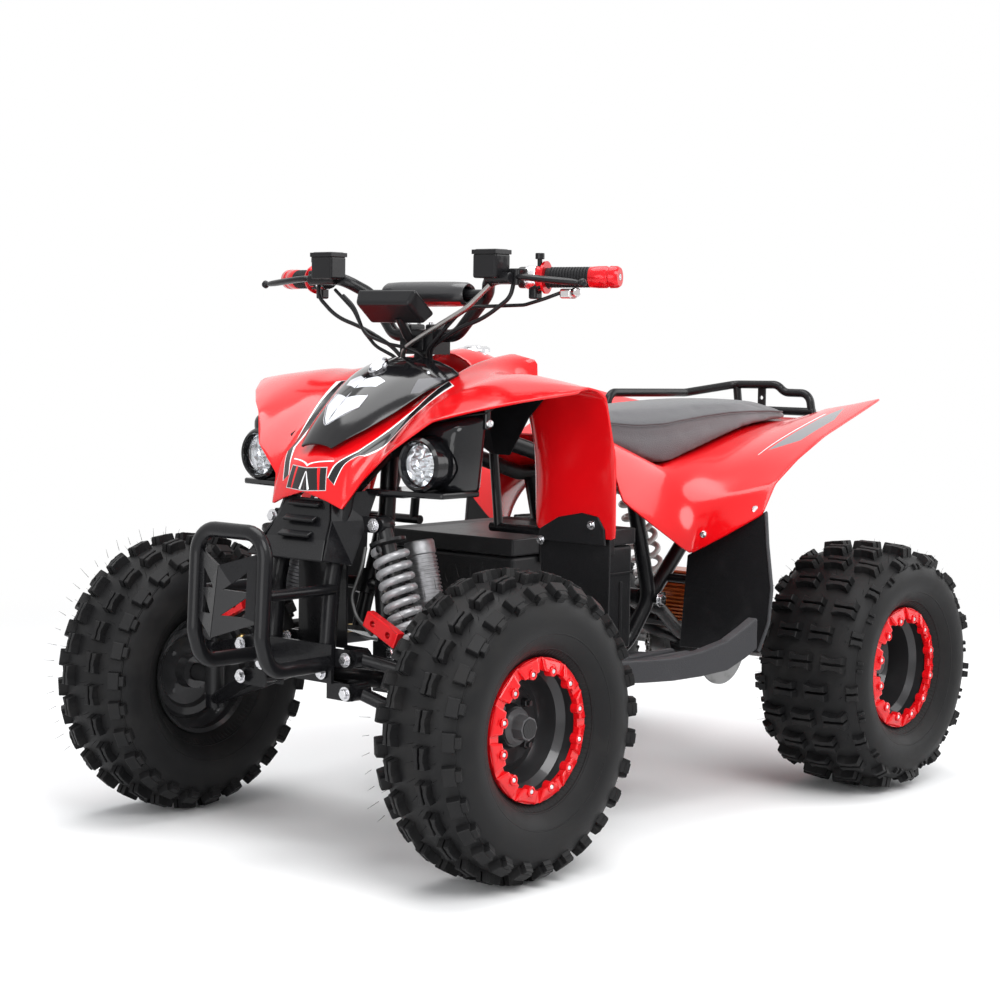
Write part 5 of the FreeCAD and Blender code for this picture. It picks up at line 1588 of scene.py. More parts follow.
    def hood_trim(self, hood: bpy.types.Object) -> None:
        """Bright edging round the diamond, its ridge and the position lamp above it.

        Args:
            hood: piece it lies on.
        """
        dark = Metal("hood edging", (0.42, 0.42, 0.45), 0.18).make()
        corners = [(1.050, 0.0), (1.039, 0.013), (1.009, 0.037), (0.984, 0.036), (0.984, -0.036),
                   (1.009, -0.037), (1.039, -0.013)]
        outline = [top_of(hood, x, y, 0.001) for x, y in corners]
        edging = Work.tube("hood_edging", outline, 0.0007, 0.006, 4, True)
        bars = [Work.tube("ridge", [top_of(hood, x, 0.0, 0.0006) for x in (1.048, 1.010, 0.955)],
                          0.0008, 0.02, 4)]
        edging.join(bars)
        edging.piece.name = "hood_edging"
        edging.finish(dark, "chassis", "black_gloss")
        spot = top_of(hood, 0.925, 0.0, 0.003)
        tilt = Matrix.Translation(spot) @ Matrix.Rotation(math.radians(34.0), 4, "Y")
        tilt @= Matrix.Diagonal((1.35, 0.78, 1.0, 1.0))
        bezel = Work.lathe("lamp_bezel", [(0.0125, -0.004), (0.0165, -0.004), (0.0165, 0.003),
                                          (0.0150, 0.0048), (0.0128, 0.0040)], ORIGIN, (0, 0, 1), 40).smooth()
        bezel.move(tilt).finish(Metal("lamp bezel", (0.55, 0.55, 0.58), 0.12).make(), "chassis", "rim_silver")
        dome = Work.lathe("position_lamp", [(0.0, -0.003), (0.0126, -0.003), (0.0124, 0.0020),
                                            (0.0095, 0.0050), (0.0050, 0.0066), (0.0, 0.0071)], ORIGIN,
                          (0, 0, 1), 40).smooth()
        dome.move(tilt).finish(Paint("position lamp lens", (0.70, 0.72, 0.74), 0.06, 1.0, 0.0, 260.0, 0.0006,
                                     0.10).make(), "chassis", "lens")

    def tank_cap(self, tank: bpy.types.Object) -> None:
        """Low bright cap with its lock cover.

        Args:
            tank: piece it stands on.
        """
        spot = top_of(tank, 0.690, 0.0)
        profile = [(0.0, -0.004), (0.031, -0.004), (0.031, 0.0015), (0.027, 0.0045), (0.016, 0.0050),
                   (0.014, 0.0080), (0.0, 0.0085)]
        cap = Work.lathe("tank_cap", profile, spot, (0.12, 0.0, 1.0), 48).smooth()
        cap.finish(Metal("cap bright", (0.72, 0.72, 0.74), 0.16).make(), "chassis", "zinc")

    def screws(self) -> None:
        """Pan-head screws of the fairings."""
        steel = Metal("screw bright", (0.70, 0.70, 0.72), 0.2).make()
        places = ((0.9275, 0.2495, 0.700, (0.2, 1.0, 0.1)), (0.3230, 0.241, 0.484, (1, 0.35, 0)),
                  (0.2940, 0.3335, 0.534, (1, 0.5, 0.2)))
        heads = []
        for x, y, z, axis in places:
            for side in Side:
                facing = Vector((axis[0], axis[1] * side.value, axis[2])).normalized()
                profile = [(0.0, -0.002), (0.0072, -0.002), (0.0072, 0.0004), (0.0056, 0.0028),
                           (0.0020, 0.0034), (0.0018, 0.0018), (0.0, 0.0018)]
                heads.append(Work.lathe("screw", profile, at(x, side.value * y, z), facing, 16).smooth())
        gather("fairing_screws", heads).finish(steel, "chassis", "zinc")


# Saddle

# Place ahead of the axle, half width at the base, heights of the crown, the shoulder and the base
SEAT_ROWS = ((0.468, 0.060, 0.706, 0.694, 0.664), (0.420, 0.085, 0.704, 0.688, 0.648),
             (0.350, 0.110, 0.704, 0.682, 0.620), (0.283, 0.124, 0.707, 0.684, 0.5995),
             (0.230, 0.127, 0.710, 0.690, 0.617), (0.160, 0.127, 0.713, 0.696, 0.634),
             (0.080, 0.127, 0.716, 0.701, 0.655), (0.000, 0.126, 0.716, 0.702, 0.672),
             (-0.070, 0.120, 0.714, 0.701, 0.676), (-0.125, 0.115, 0.709, 0.698, 0.678),
             (-0.165, 0.102, 0.700, 0.692, 0.680))


@dataclass
class Saddle:
    """Foam saddle under a vinyl cover, with a welt round its top."""

    puff: float = 0.004
    voxel: float = 0.006
    pressure: float = 3.0
    steps: int = 16

    def section(self, row: tuple[float, float, float, float, float]) -> list[Vector]:
        """Closed outline across the saddle at one station.

        Args:
            row: place ahead, half width, and the heights of crown, shoulder and base.

        Returns:
            Its corners from the left to the right.
        """
        x, edge, crown, shoulder, base = row
        half = [(1.0, base), (1.0, base + 0.004), (0.985, (base + shoulder) / 2), (0.95, shoulder - 0.004),
                (0.90, shoulder + 0.002), (0.72, shoulder + (crown - shoulder) * 0.62), (0.38, crown - 0.001)]
        left = [at(x, edge * across, z) for across, z in half]
        right = [at(x, -edge * across, z) for across, z in reversed(half)]
        return left + [at(x, 0.0, crown)] + right

    def build(self) -> None:
        """Build the saddle, let the foam swell and sew its welt."""
        rows = [self.section(row) for row in SEAT_ROWS]
        made = Work.sheet("saddle", [row + row[:1] for row in rows])
        made.edit()
        bpy.ops.mesh.select_all(action="SELECT")
        bpy.ops.mesh.remove_doubles(threshold=0.00001)
        made.fill_ends(40)
        made.object()
        made.modify("SUBSURF", levels=2, render_levels=2)
        self.swell(made)
        made.smooth(70.0)
        vinyl = Grained("seat vinyl", (0.095, 0.095, 0.100), 0.42, 520.0, 0.0005, 0.15).make()
        piece = made.finish(vinyl, "chassis", "seat_vinyl", "seat")
        welt = self.welt()
        welt.finish(Grained("seat welt", (0.080, 0.080, 0.084), 0.5, 900.0, 0.0002).make(),
                    "chassis", "seat_vinyl")

    def swell(self, made: Work) -> None:
        """Foam pressure under the cover, the base held where it lies on the pan.

        Args:
            made: closed saddle, changed in place.
        """
        piece = made.piece
        made.modify("REMESH", mode="VOXEL", voxel_size=self.voxel)
        before = [vertex.co.copy() for vertex in piece.data.vertices]
        held = piece.vertex_groups.new(name="held")
        low = [v.index for v in piece.data.vertices if v.normal.z < -0.35]
        held.add(low, 1.0, "REPLACE")
        pick(piece)
        cloth = piece.modifiers.new("cloth", "CLOTH")
        cloth.settings.vertex_group_mass = "held"
        cloth.settings.use_pressure = True
        cloth.settings.uniform_pressure_force = self.pressure
        cloth.settings.effector_weights.gravity = 0.0
        cloth.settings.quality = 5
        scene = bpy.context.scene
        for step in range(1, self.steps + 1):
            scene.frame_set(step)
        bpy.ops.object.modifier_apply(modifier=cloth.name)
        for vertex, old in zip(piece.data.vertices, before):
            way = vertex.co - old
            if way.length > self.puff:
                vertex.co = old + way.normalized() * self.puff
        scene.frame_set(1)
        made.modify("SMOOTH", factor=0.5, iterations=4)
        made.modify("SUBSURF", levels=1, render_levels=1)

    def welt(self) -> Work:
        """Sewn cord between the top of the saddle and its side.

        Returns:
            The piece in the making.
        """
        cords = []
        for side in (-1, 1):
            line = [at(x, side * edge * 0.955, shoulder - 0.004)
                    for x, edge, _, shoulder, _ in SEAT_ROWS[1:-1]]
            cords.append(Work.tube("welt", line, 0.0018, 0.2, 3))
        return gather("saddle_welt", cords)


# Lamps


@dataclass
class Headlamps:
    """Two round lamps with their black pods and brackets."""

    place: tuple[float, float, float] = (1.015, 0.185, 0.634)
    radius: float = 0.043

    def build(self) -> None:
        """Build both lamps."""
        pod = Paint("pod black", (0.005, 0.005, 0.006), 0.18, 0.4, 0.0, 500.0, 0.0001, 0.004).make()
        chrome = Metal("reflector", (0.86, 0.87, 0.88), 0.08, (30.0, 30.0, 30.0)).make()
        glass = Glass("headlamp glass").make()
        pods, dishes, lenses = [], [], []
        for side in Side:
            centre = at(self.place[0], side.value * self.place[1], self.place[2])
            pods += self.pod(centre, side)
            dishes += self.dish(centre)
            lens = [(0.0, 0.010), (0.014, 0.0095), (0.025, 0.0070), (0.0335, 0.0015), (0.0352, -0.002),
                    (0.0335, -0.003), (0.024, 0.0030), (0.013, 0.0060), (0.0, 0.0065)]
            lenses.append(Work.lathe("glass", lens, centre, (1, 0, 0), 56).smooth(60.0))
        gather("lamp_pods", pods).finish(pod, "chassis", "black_plastic", "lamp_housings")
        # Black sheets under both wings, put in as painted shade there
        liner = Grained("wing liner black", (0.006, 0.006, 0.007), 0.5, 300.0, 0.0002).make()
        left = self.liner()
        gather("wing_liners", [left, left.mirror()]).finish(liner, "chassis", "black_plastic")
        gather("lamp_reflectors", dishes).finish(chrome, "chassis", "lens")
        gather("lamp_glasses", lenses).finish(glass, "chassis", "lens", "lamp_lenses")

    def pod(self, centre: Vector, side: Side) -> list[Work]:
        """Barrel, band, tray, shell and lug of one lamp.

        Args:
            centre: middle of the lamp.
            side: side it is on.

        Returns:
            Its parts.
        """
        r = self.radius
        barrel = Work.lathe("barrel", [(0.0, -0.066), (0.026, -0.066), (0.036, -0.050), (r - 0.002, -0.020),
                                       (r - 0.002, -0.008), (r, -0.006), (r + 0.0005, 0.008),
                                       (r - 0.0035, 0.0125), (0.0362, 0.0110), (0.0355, -0.010),
                                       (0.030, -0.030), (0.0, -0.040)],
                            centre, (1, 0, 0), 64).smooth(40.0)
        band = Work.lathe("band", [(r - 0.003, -0.034), (r + 0.0022, -0.034), (r + 0.0028, -0.024),
                                   (r - 0.003, -0.024)], centre, (1, 0, 0), 48).smooth()
        tray = Work.block("tray", (0.125, 0.150, 0.010),
                          (centre.x - 0.040, centre.y - side.value * 0.030, centre.z - 0.048))
        tray.squeeze(lambda c: (c.y - centre.y) * side.value > 0.0, (0.72, 1.0, 1.0),
                     (centre.x - 0.055, centre.y, centre.z))
        shell = Work.block("shell", (0.072, 0.126, 0.140),
                           (centre.x - 0.057, centre.y + side.value * 0.001, centre.z + 0.017))
        shell.squeeze(lambda c: c.x > centre.x - 0.05, (1.0, 0.86, 0.76),
                      (centre.x, centre.y, centre.z - 0.020))
        shell.squeeze(lambda c: c.z < centre.z, (1.0, 0.84, 1.0),
                      (centre.x, centre.y - side.value * 0.03, centre.z))
        shell.soften(0.016, 4)
        shell.cut(Work.drum("room", 0.0475, 0.09, centre - Vector((0.018, 0.0, 0.0)), (1, 0, 0), 48))
        lug = Work.block("lug", (0.012, 0.020, 0.044),
                         (centre.x - 0.086, centre.y + side.value * 0.055, centre.z + 0.078))
        return [barrel, band, tray.soften(0.003), shell.smooth(40.0), lug.soften(0.003)]

    def liner(self) -> Work:
        """Black inner wall, roof and rear wall under the left wing: a dark sheet as painted shade under the
        wing.

        Returns:
            The piece in the making.
        """
        rows = (((1.010, 0.112, 0.640), (0.960, 0.116, 0.648), (0.890, 0.118, 0.655), (0.810, 0.120, 0.660),
                 (0.772, 0.120, 0.640)),
                ((1.015, 0.116, 0.668), (0.955, 0.118, 0.712), (0.885, 0.121, 0.740), (0.805, 0.124, 0.764),
                 (0.772, 0.126, 0.640)),
                ((0.990, 0.150, 0.690), (0.940, 0.152, 0.722), (0.870, 0.155, 0.752), (0.790, 0.156, 0.776),
                 (0.772, 0.160, 0.640)),
                ((0.968, 0.205, 0.708), (0.925, 0.205, 0.730), (0.865, 0.206, 0.752), (0.785, 0.206, 0.760),
                 (0.778, 0.206, 0.705)),
                ((0.935, 0.250, 0.716), (0.905, 0.250, 0.730), (0.860, 0.250, 0.750), (0.785, 0.250, 0.752),
                 (0.781, 0.250, 0.746)))
        sheet = Work.sheet("liner", [route(row) for row in rows])
        return sheet.thicken(0.003).soften(0.001, 1).smooth(40.0)

    def dish(self, centre: Vector) -> list[Work]:
        """Bright dish with seven faceted cups and thin webs between them.

        Args:
            centre: middle of the lamp.

        Returns:
            The bowl and its cups.
        """
        bowl = Work.lathe("bowl", [(0.0, -0.022), (0.012, -0.022), (0.030, -0.012), (0.0352, -0.0035),
                                   (0.0350, -0.006), (0.029, -0.0155), (0.012, -0.026), (0.0, -0.026)],
                          centre, (1, 0, 0), 48).smooth(50.0)
        cups = [bowl]
        for index in range(7):
            angle = math.tau * index / 6
            reach = 0.0 if index == 6 else 0.0205
            spot = centre + Vector((0.0, reach * math.cos(angle), reach * math.sin(angle)))
            profile = [(0.0030, -0.021), (0.0094, -0.006), (0.0104, -0.006), (0.0052, -0.024), (0.0, -0.024),
                       (0.0, -0.019), (0.0024, -0.018)]
            cups.append(Work.lathe("cup", profile, spot, (1, 0, 0), 8))
        return cups


# Handlebar


@dataclass
class Cockpit:
    """Grips, levers, reservoirs, switches, display, pad and the cables of the handlebar."""

    inner: tuple[float, float, float] = (0.842, 0.170, 0.934)
    outer: tuple[float, float, float] = (0.770, 0.378, 0.936)
    grip_length: float = 0.118
    bore: float = 0.0114

    def run(self, side: Side) -> tuple[Vector, Vector]:
        """Outer end of one side of the bar and its direction outwards.

        Args:
            side: side of the bar.

        Returns:
            The end and the direction.
        """
        outer = at(self.outer[0], side.value * self.outer[1], self.outer[2])
        inner = at(self.inner[0], side.value * self.inner[1], self.inner[2])
        return outer, (outer - inner).normalized()

    def build(self) -> None:
        """Build all that the bar carries."""
        black = Paint("control black", (0.008, 0.008, 0.009), 0.32, 0.15, 0.0, 900.0, 0.0001, 0.008).make()
        rubber = Grained("grip rubber", (0.012, 0.012, 0.013), 0.62, 900.0, 0.0002).make()
        red = Paint("anodised red", (0.62, 0.006, 0.012), 0.22, 0.4, 0.45, 600.0, 0.00005, 0.01).make()
        bright = Metal("control bright", (0.75, 0.75, 0.77), 0.18).make()
        rubbers, reds, blacks, brights = [], [], [], []
        for side in Side:
            outer, along = self.run(side)
            rubbers.append(self.sleeve(outer, along))
            reds += self.red_parts(outer, along)
            blacks += self.perch(side)
            brights += self.bright_parts(outer, along)
        gather("grip_sleeves", rubbers).finish(rubber, "steering", "grip_rubber", "grips")
        gather("grip_ends", reds).finish(red, "steering", "ring_red")
        gather("levers", blacks).finish(black, "steering", "black_plastic", "brake_controls")
        gather("bar_fittings", brights).finish(bright, "steering", "zinc")
        self.pad()
        self.meter(black)
        self.clamp(black)
        self.leads()

    def leads(self) -> None:
        """Leads and the braided hose that run beside the cables, down behind the hood."""
        routes = (((0.860, -0.150, 0.905), (0.864, -0.119, 0.886), (0.862, -0.100, 0.846),
                   (0.858, -0.072, 0.818), (0.8395, -0.034, 0.797), (0.834, -0.0305, 0.765)),
                  ((0.850, -0.180, 0.915), (0.862, -0.122, 0.880), (0.862, -0.094, 0.838),
                   (0.866, -0.037, 0.823), (0.862, 0.012, 0.816), (0.842, 0.031, 0.800),
                   (0.834, 0.0305, 0.765)),
                  ((0.858, 0.160, 0.905), (0.862, 0.128, 0.880), (0.860, 0.076, 0.838), (0.856, 0.046, 0.815),
                   (0.840, 0.037, 0.797), (0.833, 0.037, 0.765)),
                  ((0.795, 0.288, 0.912), (0.818, 0.268, 0.900), (0.822, 0.229, 0.890), (0.828, 0.170, 0.888),
                   (0.848, 0.135, 0.886), (0.862, 0.100, 0.862), (0.846, 0.044, 0.812),
                   (0.837, 0.040, 0.788)))
        tubes = [Work.tube("lead", route(spots), 0.0030, 0.05, 5) for spots in routes]
        rubber = Paint("lead black", (0.008, 0.008, 0.009), 0.36, 0.1, 0.0, 900.0, 0.0001, 0.006).make()
        gather("bar_leads", tubes).finish(rubber, "steering", "black_plastic")
        hose = route(((0.862, 0.190, 0.922), (0.866, 0.146, 0.886), (0.870, 0.077, 0.852),
                      (0.868, 0.026, 0.828), (0.856, -0.012, 0.812), (0.8395, -0.022, 0.780)))
        Work.tube("braided_hose", hose, 0.0042, 0.08, 6).finish(
            Metal("hose braid", (0.34, 0.33, 0.32), 0.36, BRAID).make(), "steering", "zinc")
        switch = Work.block("switch", (0.020, 0.024, 0.016), at(0.796, 0.300, 0.909)).soften(0.004, 3)
        button = Work.drum("button", 0.0075, 0.012, at(0.800, 0.318, 0.911), (0.3, 1, 0), 24).soften(0.002)
        gather("bar_switch", [switch, button]).finish(
            Metal("switch bright", (0.62, 0.60, 0.60), 0.2).make(), "steering", "zinc")

    def sleeve(self, outer: Vector, along: Vector) -> Work:
        """Ribbed rubber of one grip.

        Args:
            outer: outer end of the bar.
            along: direction outwards.

        Returns:
            The piece in the making.
        """
        profile = [(self.bore, 0.0), (0.0155, 0.0)]
        for index in range(14):
            start = 0.006 + index * 0.0050
            profile += [(0.0152, start), (0.0168, start + 0.0008), (0.0168, start + 0.0030),
                        (0.0152, start + 0.0038)]
        profile += [(0.0150, 0.084), (0.0150, 0.118), (self.bore, 0.118)]
        return Work.lathe("sleeve", profile, outer - along * self.grip_length, along, 40).smooth(40.0)

    def red_parts(self, outer: Vector, along: Vector) -> list[Work]:
        """Flange beside the controls and the stepped end of one grip.

        Args:
            outer: outer end of the bar.
            along: direction outwards.

        Returns:
            Both parts.
        """
        start = outer - along * self.grip_length
        flange = Work.lathe("flange", [(self.bore, -0.015), (0.0205, -0.015), (0.0218, -0.012),
                                       (0.0218, -0.006), (0.0265, -0.0045), (0.0265, -0.0005),
                                       (self.bore, -0.0005)], start, along, 48)
        end = Work.lathe("end", [(0.0152, -0.046), (0.0168, -0.044), (0.0178, -0.030), (0.0178, -0.016),
                                 (0.0166, -0.014), (0.0166, -0.011), (0.0180, -0.009), (0.0176, 0.002),
                                 (0.0150, 0.006), (0.0060, 0.006), (0.0055, 0.002), (0.0152, 0.001)],
                         outer, along, 48)
        return [flange.smooth(), end.smooth()]

    def bright_parts(self, outer: Vector, along: Vector) -> list[Work]:
        """Bare clamp ring and end plug of one side.

        Args:
            outer: outer end of the bar.
            along: direction outwards.

        Returns:
            Both parts.
        """
        start = outer - along * self.grip_length
        ring = Work.lathe("ring", [(self.bore, -0.036), (0.0175, -0.036), (0.0192, -0.033), (0.0192, -0.018),
                                   (0.0175, -0.0155), (self.bore, -0.0155)], start, along, 48)
        plug = Work.lathe("plug", [(0.0, 0.0030), (0.0056, 0.0030), (0.0054, 0.0062), (0.0028, 0.0062),
                                   (0.0026, 0.0046), (0.0, 0.0046)], outer, along, 24)
        return [ring.smooth(), plug.smooth()]

    def perch(self, side: Side) -> list[Work]:
        """Lever, its perch, the reservoir and the switch box of one side.

        Args:
            side: side of the bar.

        Returns:
            Their parts.
        """
        outer, along = self.run(side)
        sign = side.value
        base = outer - along * (self.grip_length + 0.047)
        middle = base + along * 0.011
        ring = Work.lathe("ring", [(self.bore, 0.0), (0.0172, 0.0), (0.0176, 0.003), (0.0176, 0.019),
                                   (0.0172, 0.022), (self.bore, 0.022)], base, along, 40).smooth()
        neck = Work.block("neck", (0.030, 0.024, 0.018), middle + Vector((0.019, 0.0, 0.005))).soften(0.003)
        body = Work.drum("body", 0.0095, 0.058, middle + Vector((0.036, -sign * 0.028, -0.002)),
                         (0.12, sign, 0.0), 24)
        body.soften(0.002)
        seat = middle + Vector((0.038, -sign * 0.044, 0.018))
        tank = Work.block("tank", (0.038, 0.050, 0.040), seat).soften(0.004, 3)
        lid = Work.block("lid", (0.0400, 0.0525, 0.0075), seat + Vector((0.0, 0.0, 0.0225)))
        lid.inset(lambda spot, normal: normal.z > 0.9, (0.004, 0.0), (0.0012, 0.0010))
        lid.soften(0.0014, 2)
        tip = at(0.842, sign * 0.366, 0.925)
        knee = middle + Vector((0.034, sign * 0.026, 0.0))
        root = middle + Vector((0.026, sign * 0.002, 0.0))
        blade = self.blade([root, knee, (knee + tip) / 2 + Vector((0.004, 0.0, -0.001)), tip])
        ball = Work.lathe("ball", [(0.0, -0.0075), (0.0050, -0.0052), (0.0074, 0.0), (0.0050, 0.0052),
                                   (0.0, 0.0075)], tip, (tip - knee), 20).smooth(80.0)
        box = Work.block("box", (0.030, 0.026, 0.030),
                         base + along * 0.034 + Vector((0.0, 0.0, -0.004))).soften(0.005, 3)
        horn = Work.drum("stalk", 0.0035, 0.030, base + along * 0.030 + Vector((-0.004, 0.0, 0.022)),
                         (0.1, 0, 1), 12)
        horn.soften(0.001)
        hook = Work.drum("pin", 0.0055, 0.026, middle + Vector((0.030, sign * 0.004, 0.0)), (0, 0, 1),
                         16).soften(0.001)
        stem = Work.drum("stem", 0.004, 0.024, base + along * 0.040 + Vector((0.010, 0.0, 0.020)),
                         (0, 0, 1), 12)
        knob = Work.drum("knob", 0.0075, 0.010, base + along * 0.040 + Vector((0.010, 0.0, 0.034)),
                         (0, 0, 1), 20)
        drop = Work.block("drop", (0.018, 0.016, 0.022),
                          base + along * 0.026 + Vector((0.0, 0.0, -0.024))).soften(0.003)
        return [ring, neck, body, tank, lid, blade, ball, box, horn, hook, stem, knob.soften(0.001), drop]

    def blade(self, line: Sequence[Vector]) -> Work:
        """Flat tapering lever along a line.

        Args:
            line: four places from its root to its tip.

        Returns:
            The piece in the making.
        """
        widths = (0.0115, 0.0125, 0.0105, 0.0075)
        turned = [(math.cos(math.tau * n / 8), math.sin(math.tau * n / 8)) for n in range(8)]
        rows = []
        for index, spot in enumerate(line):
            ahead = (line[min(index + 1, len(line) - 1)] - line[max(index - 1, 0)]).normalized()
            flat = ahead.cross(Vector((0, 0, 1))).normalized()
            rows.append([spot + flat * (c * widths[index]) + Vector((0, 0, s * 0.0062)) for c, s in turned])
        made = Work.outline("blade", rows[0])
        made.edit()
        bpy.ops.mesh.select_all(action="SELECT")
        bpy.ops.mesh.edge_face_add()
        for before, row in zip(rows, rows[1:]):
            bpy.ops.mesh.extrude_region_move()
            shape = bmesh.from_edit_mesh(made.piece.data)
            chosen = [v for v in shape.verts if v.select]
            for vertex in chosen:
                nearest = min(range(8), key=lambda n: (before[n] - vertex.co).length)
                vertex.co = row[nearest]
            bmesh.update_edit_mesh(made.piece.data)
        made.merge()
        made.object()
        return made.modify("SUBSURF", levels=2, render_levels=2).smooth(60.0)

    def pad(self) -> None:
        """Foam pad round the crossbar, red on its underside."""
        middle = at(0.806, 0.0, 0.908)
        profile = [(0.0084, -0.095), (0.0185, -0.095), (0.0217, -0.090), (0.0217, 0.090), (0.0185, 0.095),
                   (0.0084, 0.095)]
        made = Work.lathe("crossbar_pad", profile, middle, (0, 1, 0), 64)
        made.modify("SUBSURF", levels=1, render_levels=1).smooth()
        recipe = Recipe("pad cover")
        _, y, z = recipe.axes(middle)
        cell = recipe.cells(600.0)
        under = z.step(-0.0125, -0.0135) * abs(y).step(0.088, 0.086)
        colour = recipe.blend(under, (0.014, 0.014, 0.016), (0.50, 0.006, 0.010))
        recipe.fill(Base_Color=colour, Roughness=0.30 + (cell * 0.1), Coat_Weight=0.35)
        recipe.relief(cell, 0.0003, 0.6)
        made.finish(recipe.material, "steering", "pad_foam", "bar_pad")

    def meter(self, black: bpy.types.Material) -> None:
        """Display case with its screen towards the rider, on a bracket.

        Args:
            black: finish of the case.
        """
        centre = at(0.880, -0.012, 0.884)
        tilt = Matrix.Translation(centre) @ Matrix.Rotation(math.radians(50.0), 4, "Y")
        case = Work.block("case", (0.028, 0.136, 0.064), ORIGIN)
        case.squeeze(lambda c: c.x > 0, (1.0, 0.90, 0.82), ORIGIN).soften(0.006, 4).move(tilt)
        leg = Work.tube("leg",
                        route(((0.838, 0.0, 0.822), (0.856, 0.0, 0.838), (0.876, 0.0, 0.868))), 0.008, 0.02)
        foot = Work.block("foot", (0.005, 0.040, 0.026), at(0.8368, 0.0, 0.825)).soften(0.0012)
        gather("display_case", [case, leg, foot]).finish(black, "steering", "black_plastic", "display")
        screen = Work.block("display_screen", (0.0008, 0.108, 0.044), (-0.0141, 0.0, 0.0)).soften(0.0003, 1)
        screen.move(tilt).finish(Paint("screen glass", (0.012, 0.016, 0.020), 0.08, 1.0, 0.0, 200.0, 0.00002,
                                       0.01).make(), "steering", "lens")

    def clamp(self, black: bpy.types.Material) -> None:
        """Cap blocks and their bolts over the middle of the bar.

        Args:
            black: finish of the blocks.
        """
        blocks = []
        for y in (-0.026, 0.026):
            blocks.append(Work.block("cap", (0.040, 0.018, 0.026), at(0.812, y, 0.844)).soften(0.004, 3))
        gather("bar_clamp", blocks).finish(black, "steering", "black_plastic")
        bolts = []
        for y in (-0.026, 0.026):
            for x in (0.799, 0.825):
                bolts.append(Work.drum("bolt", 0.0045, 0.006, at(x, y, 0.8575), (0, 0, 1),
                                       6).soften(0.0006, 1))
        gather("bar_clamp_bolts", bolts).finish(Metal("clamp bolts", (0.6, 0.6, 0.62), 0.25).make(),
                                                "steering", "zinc")


# Bare frame parts


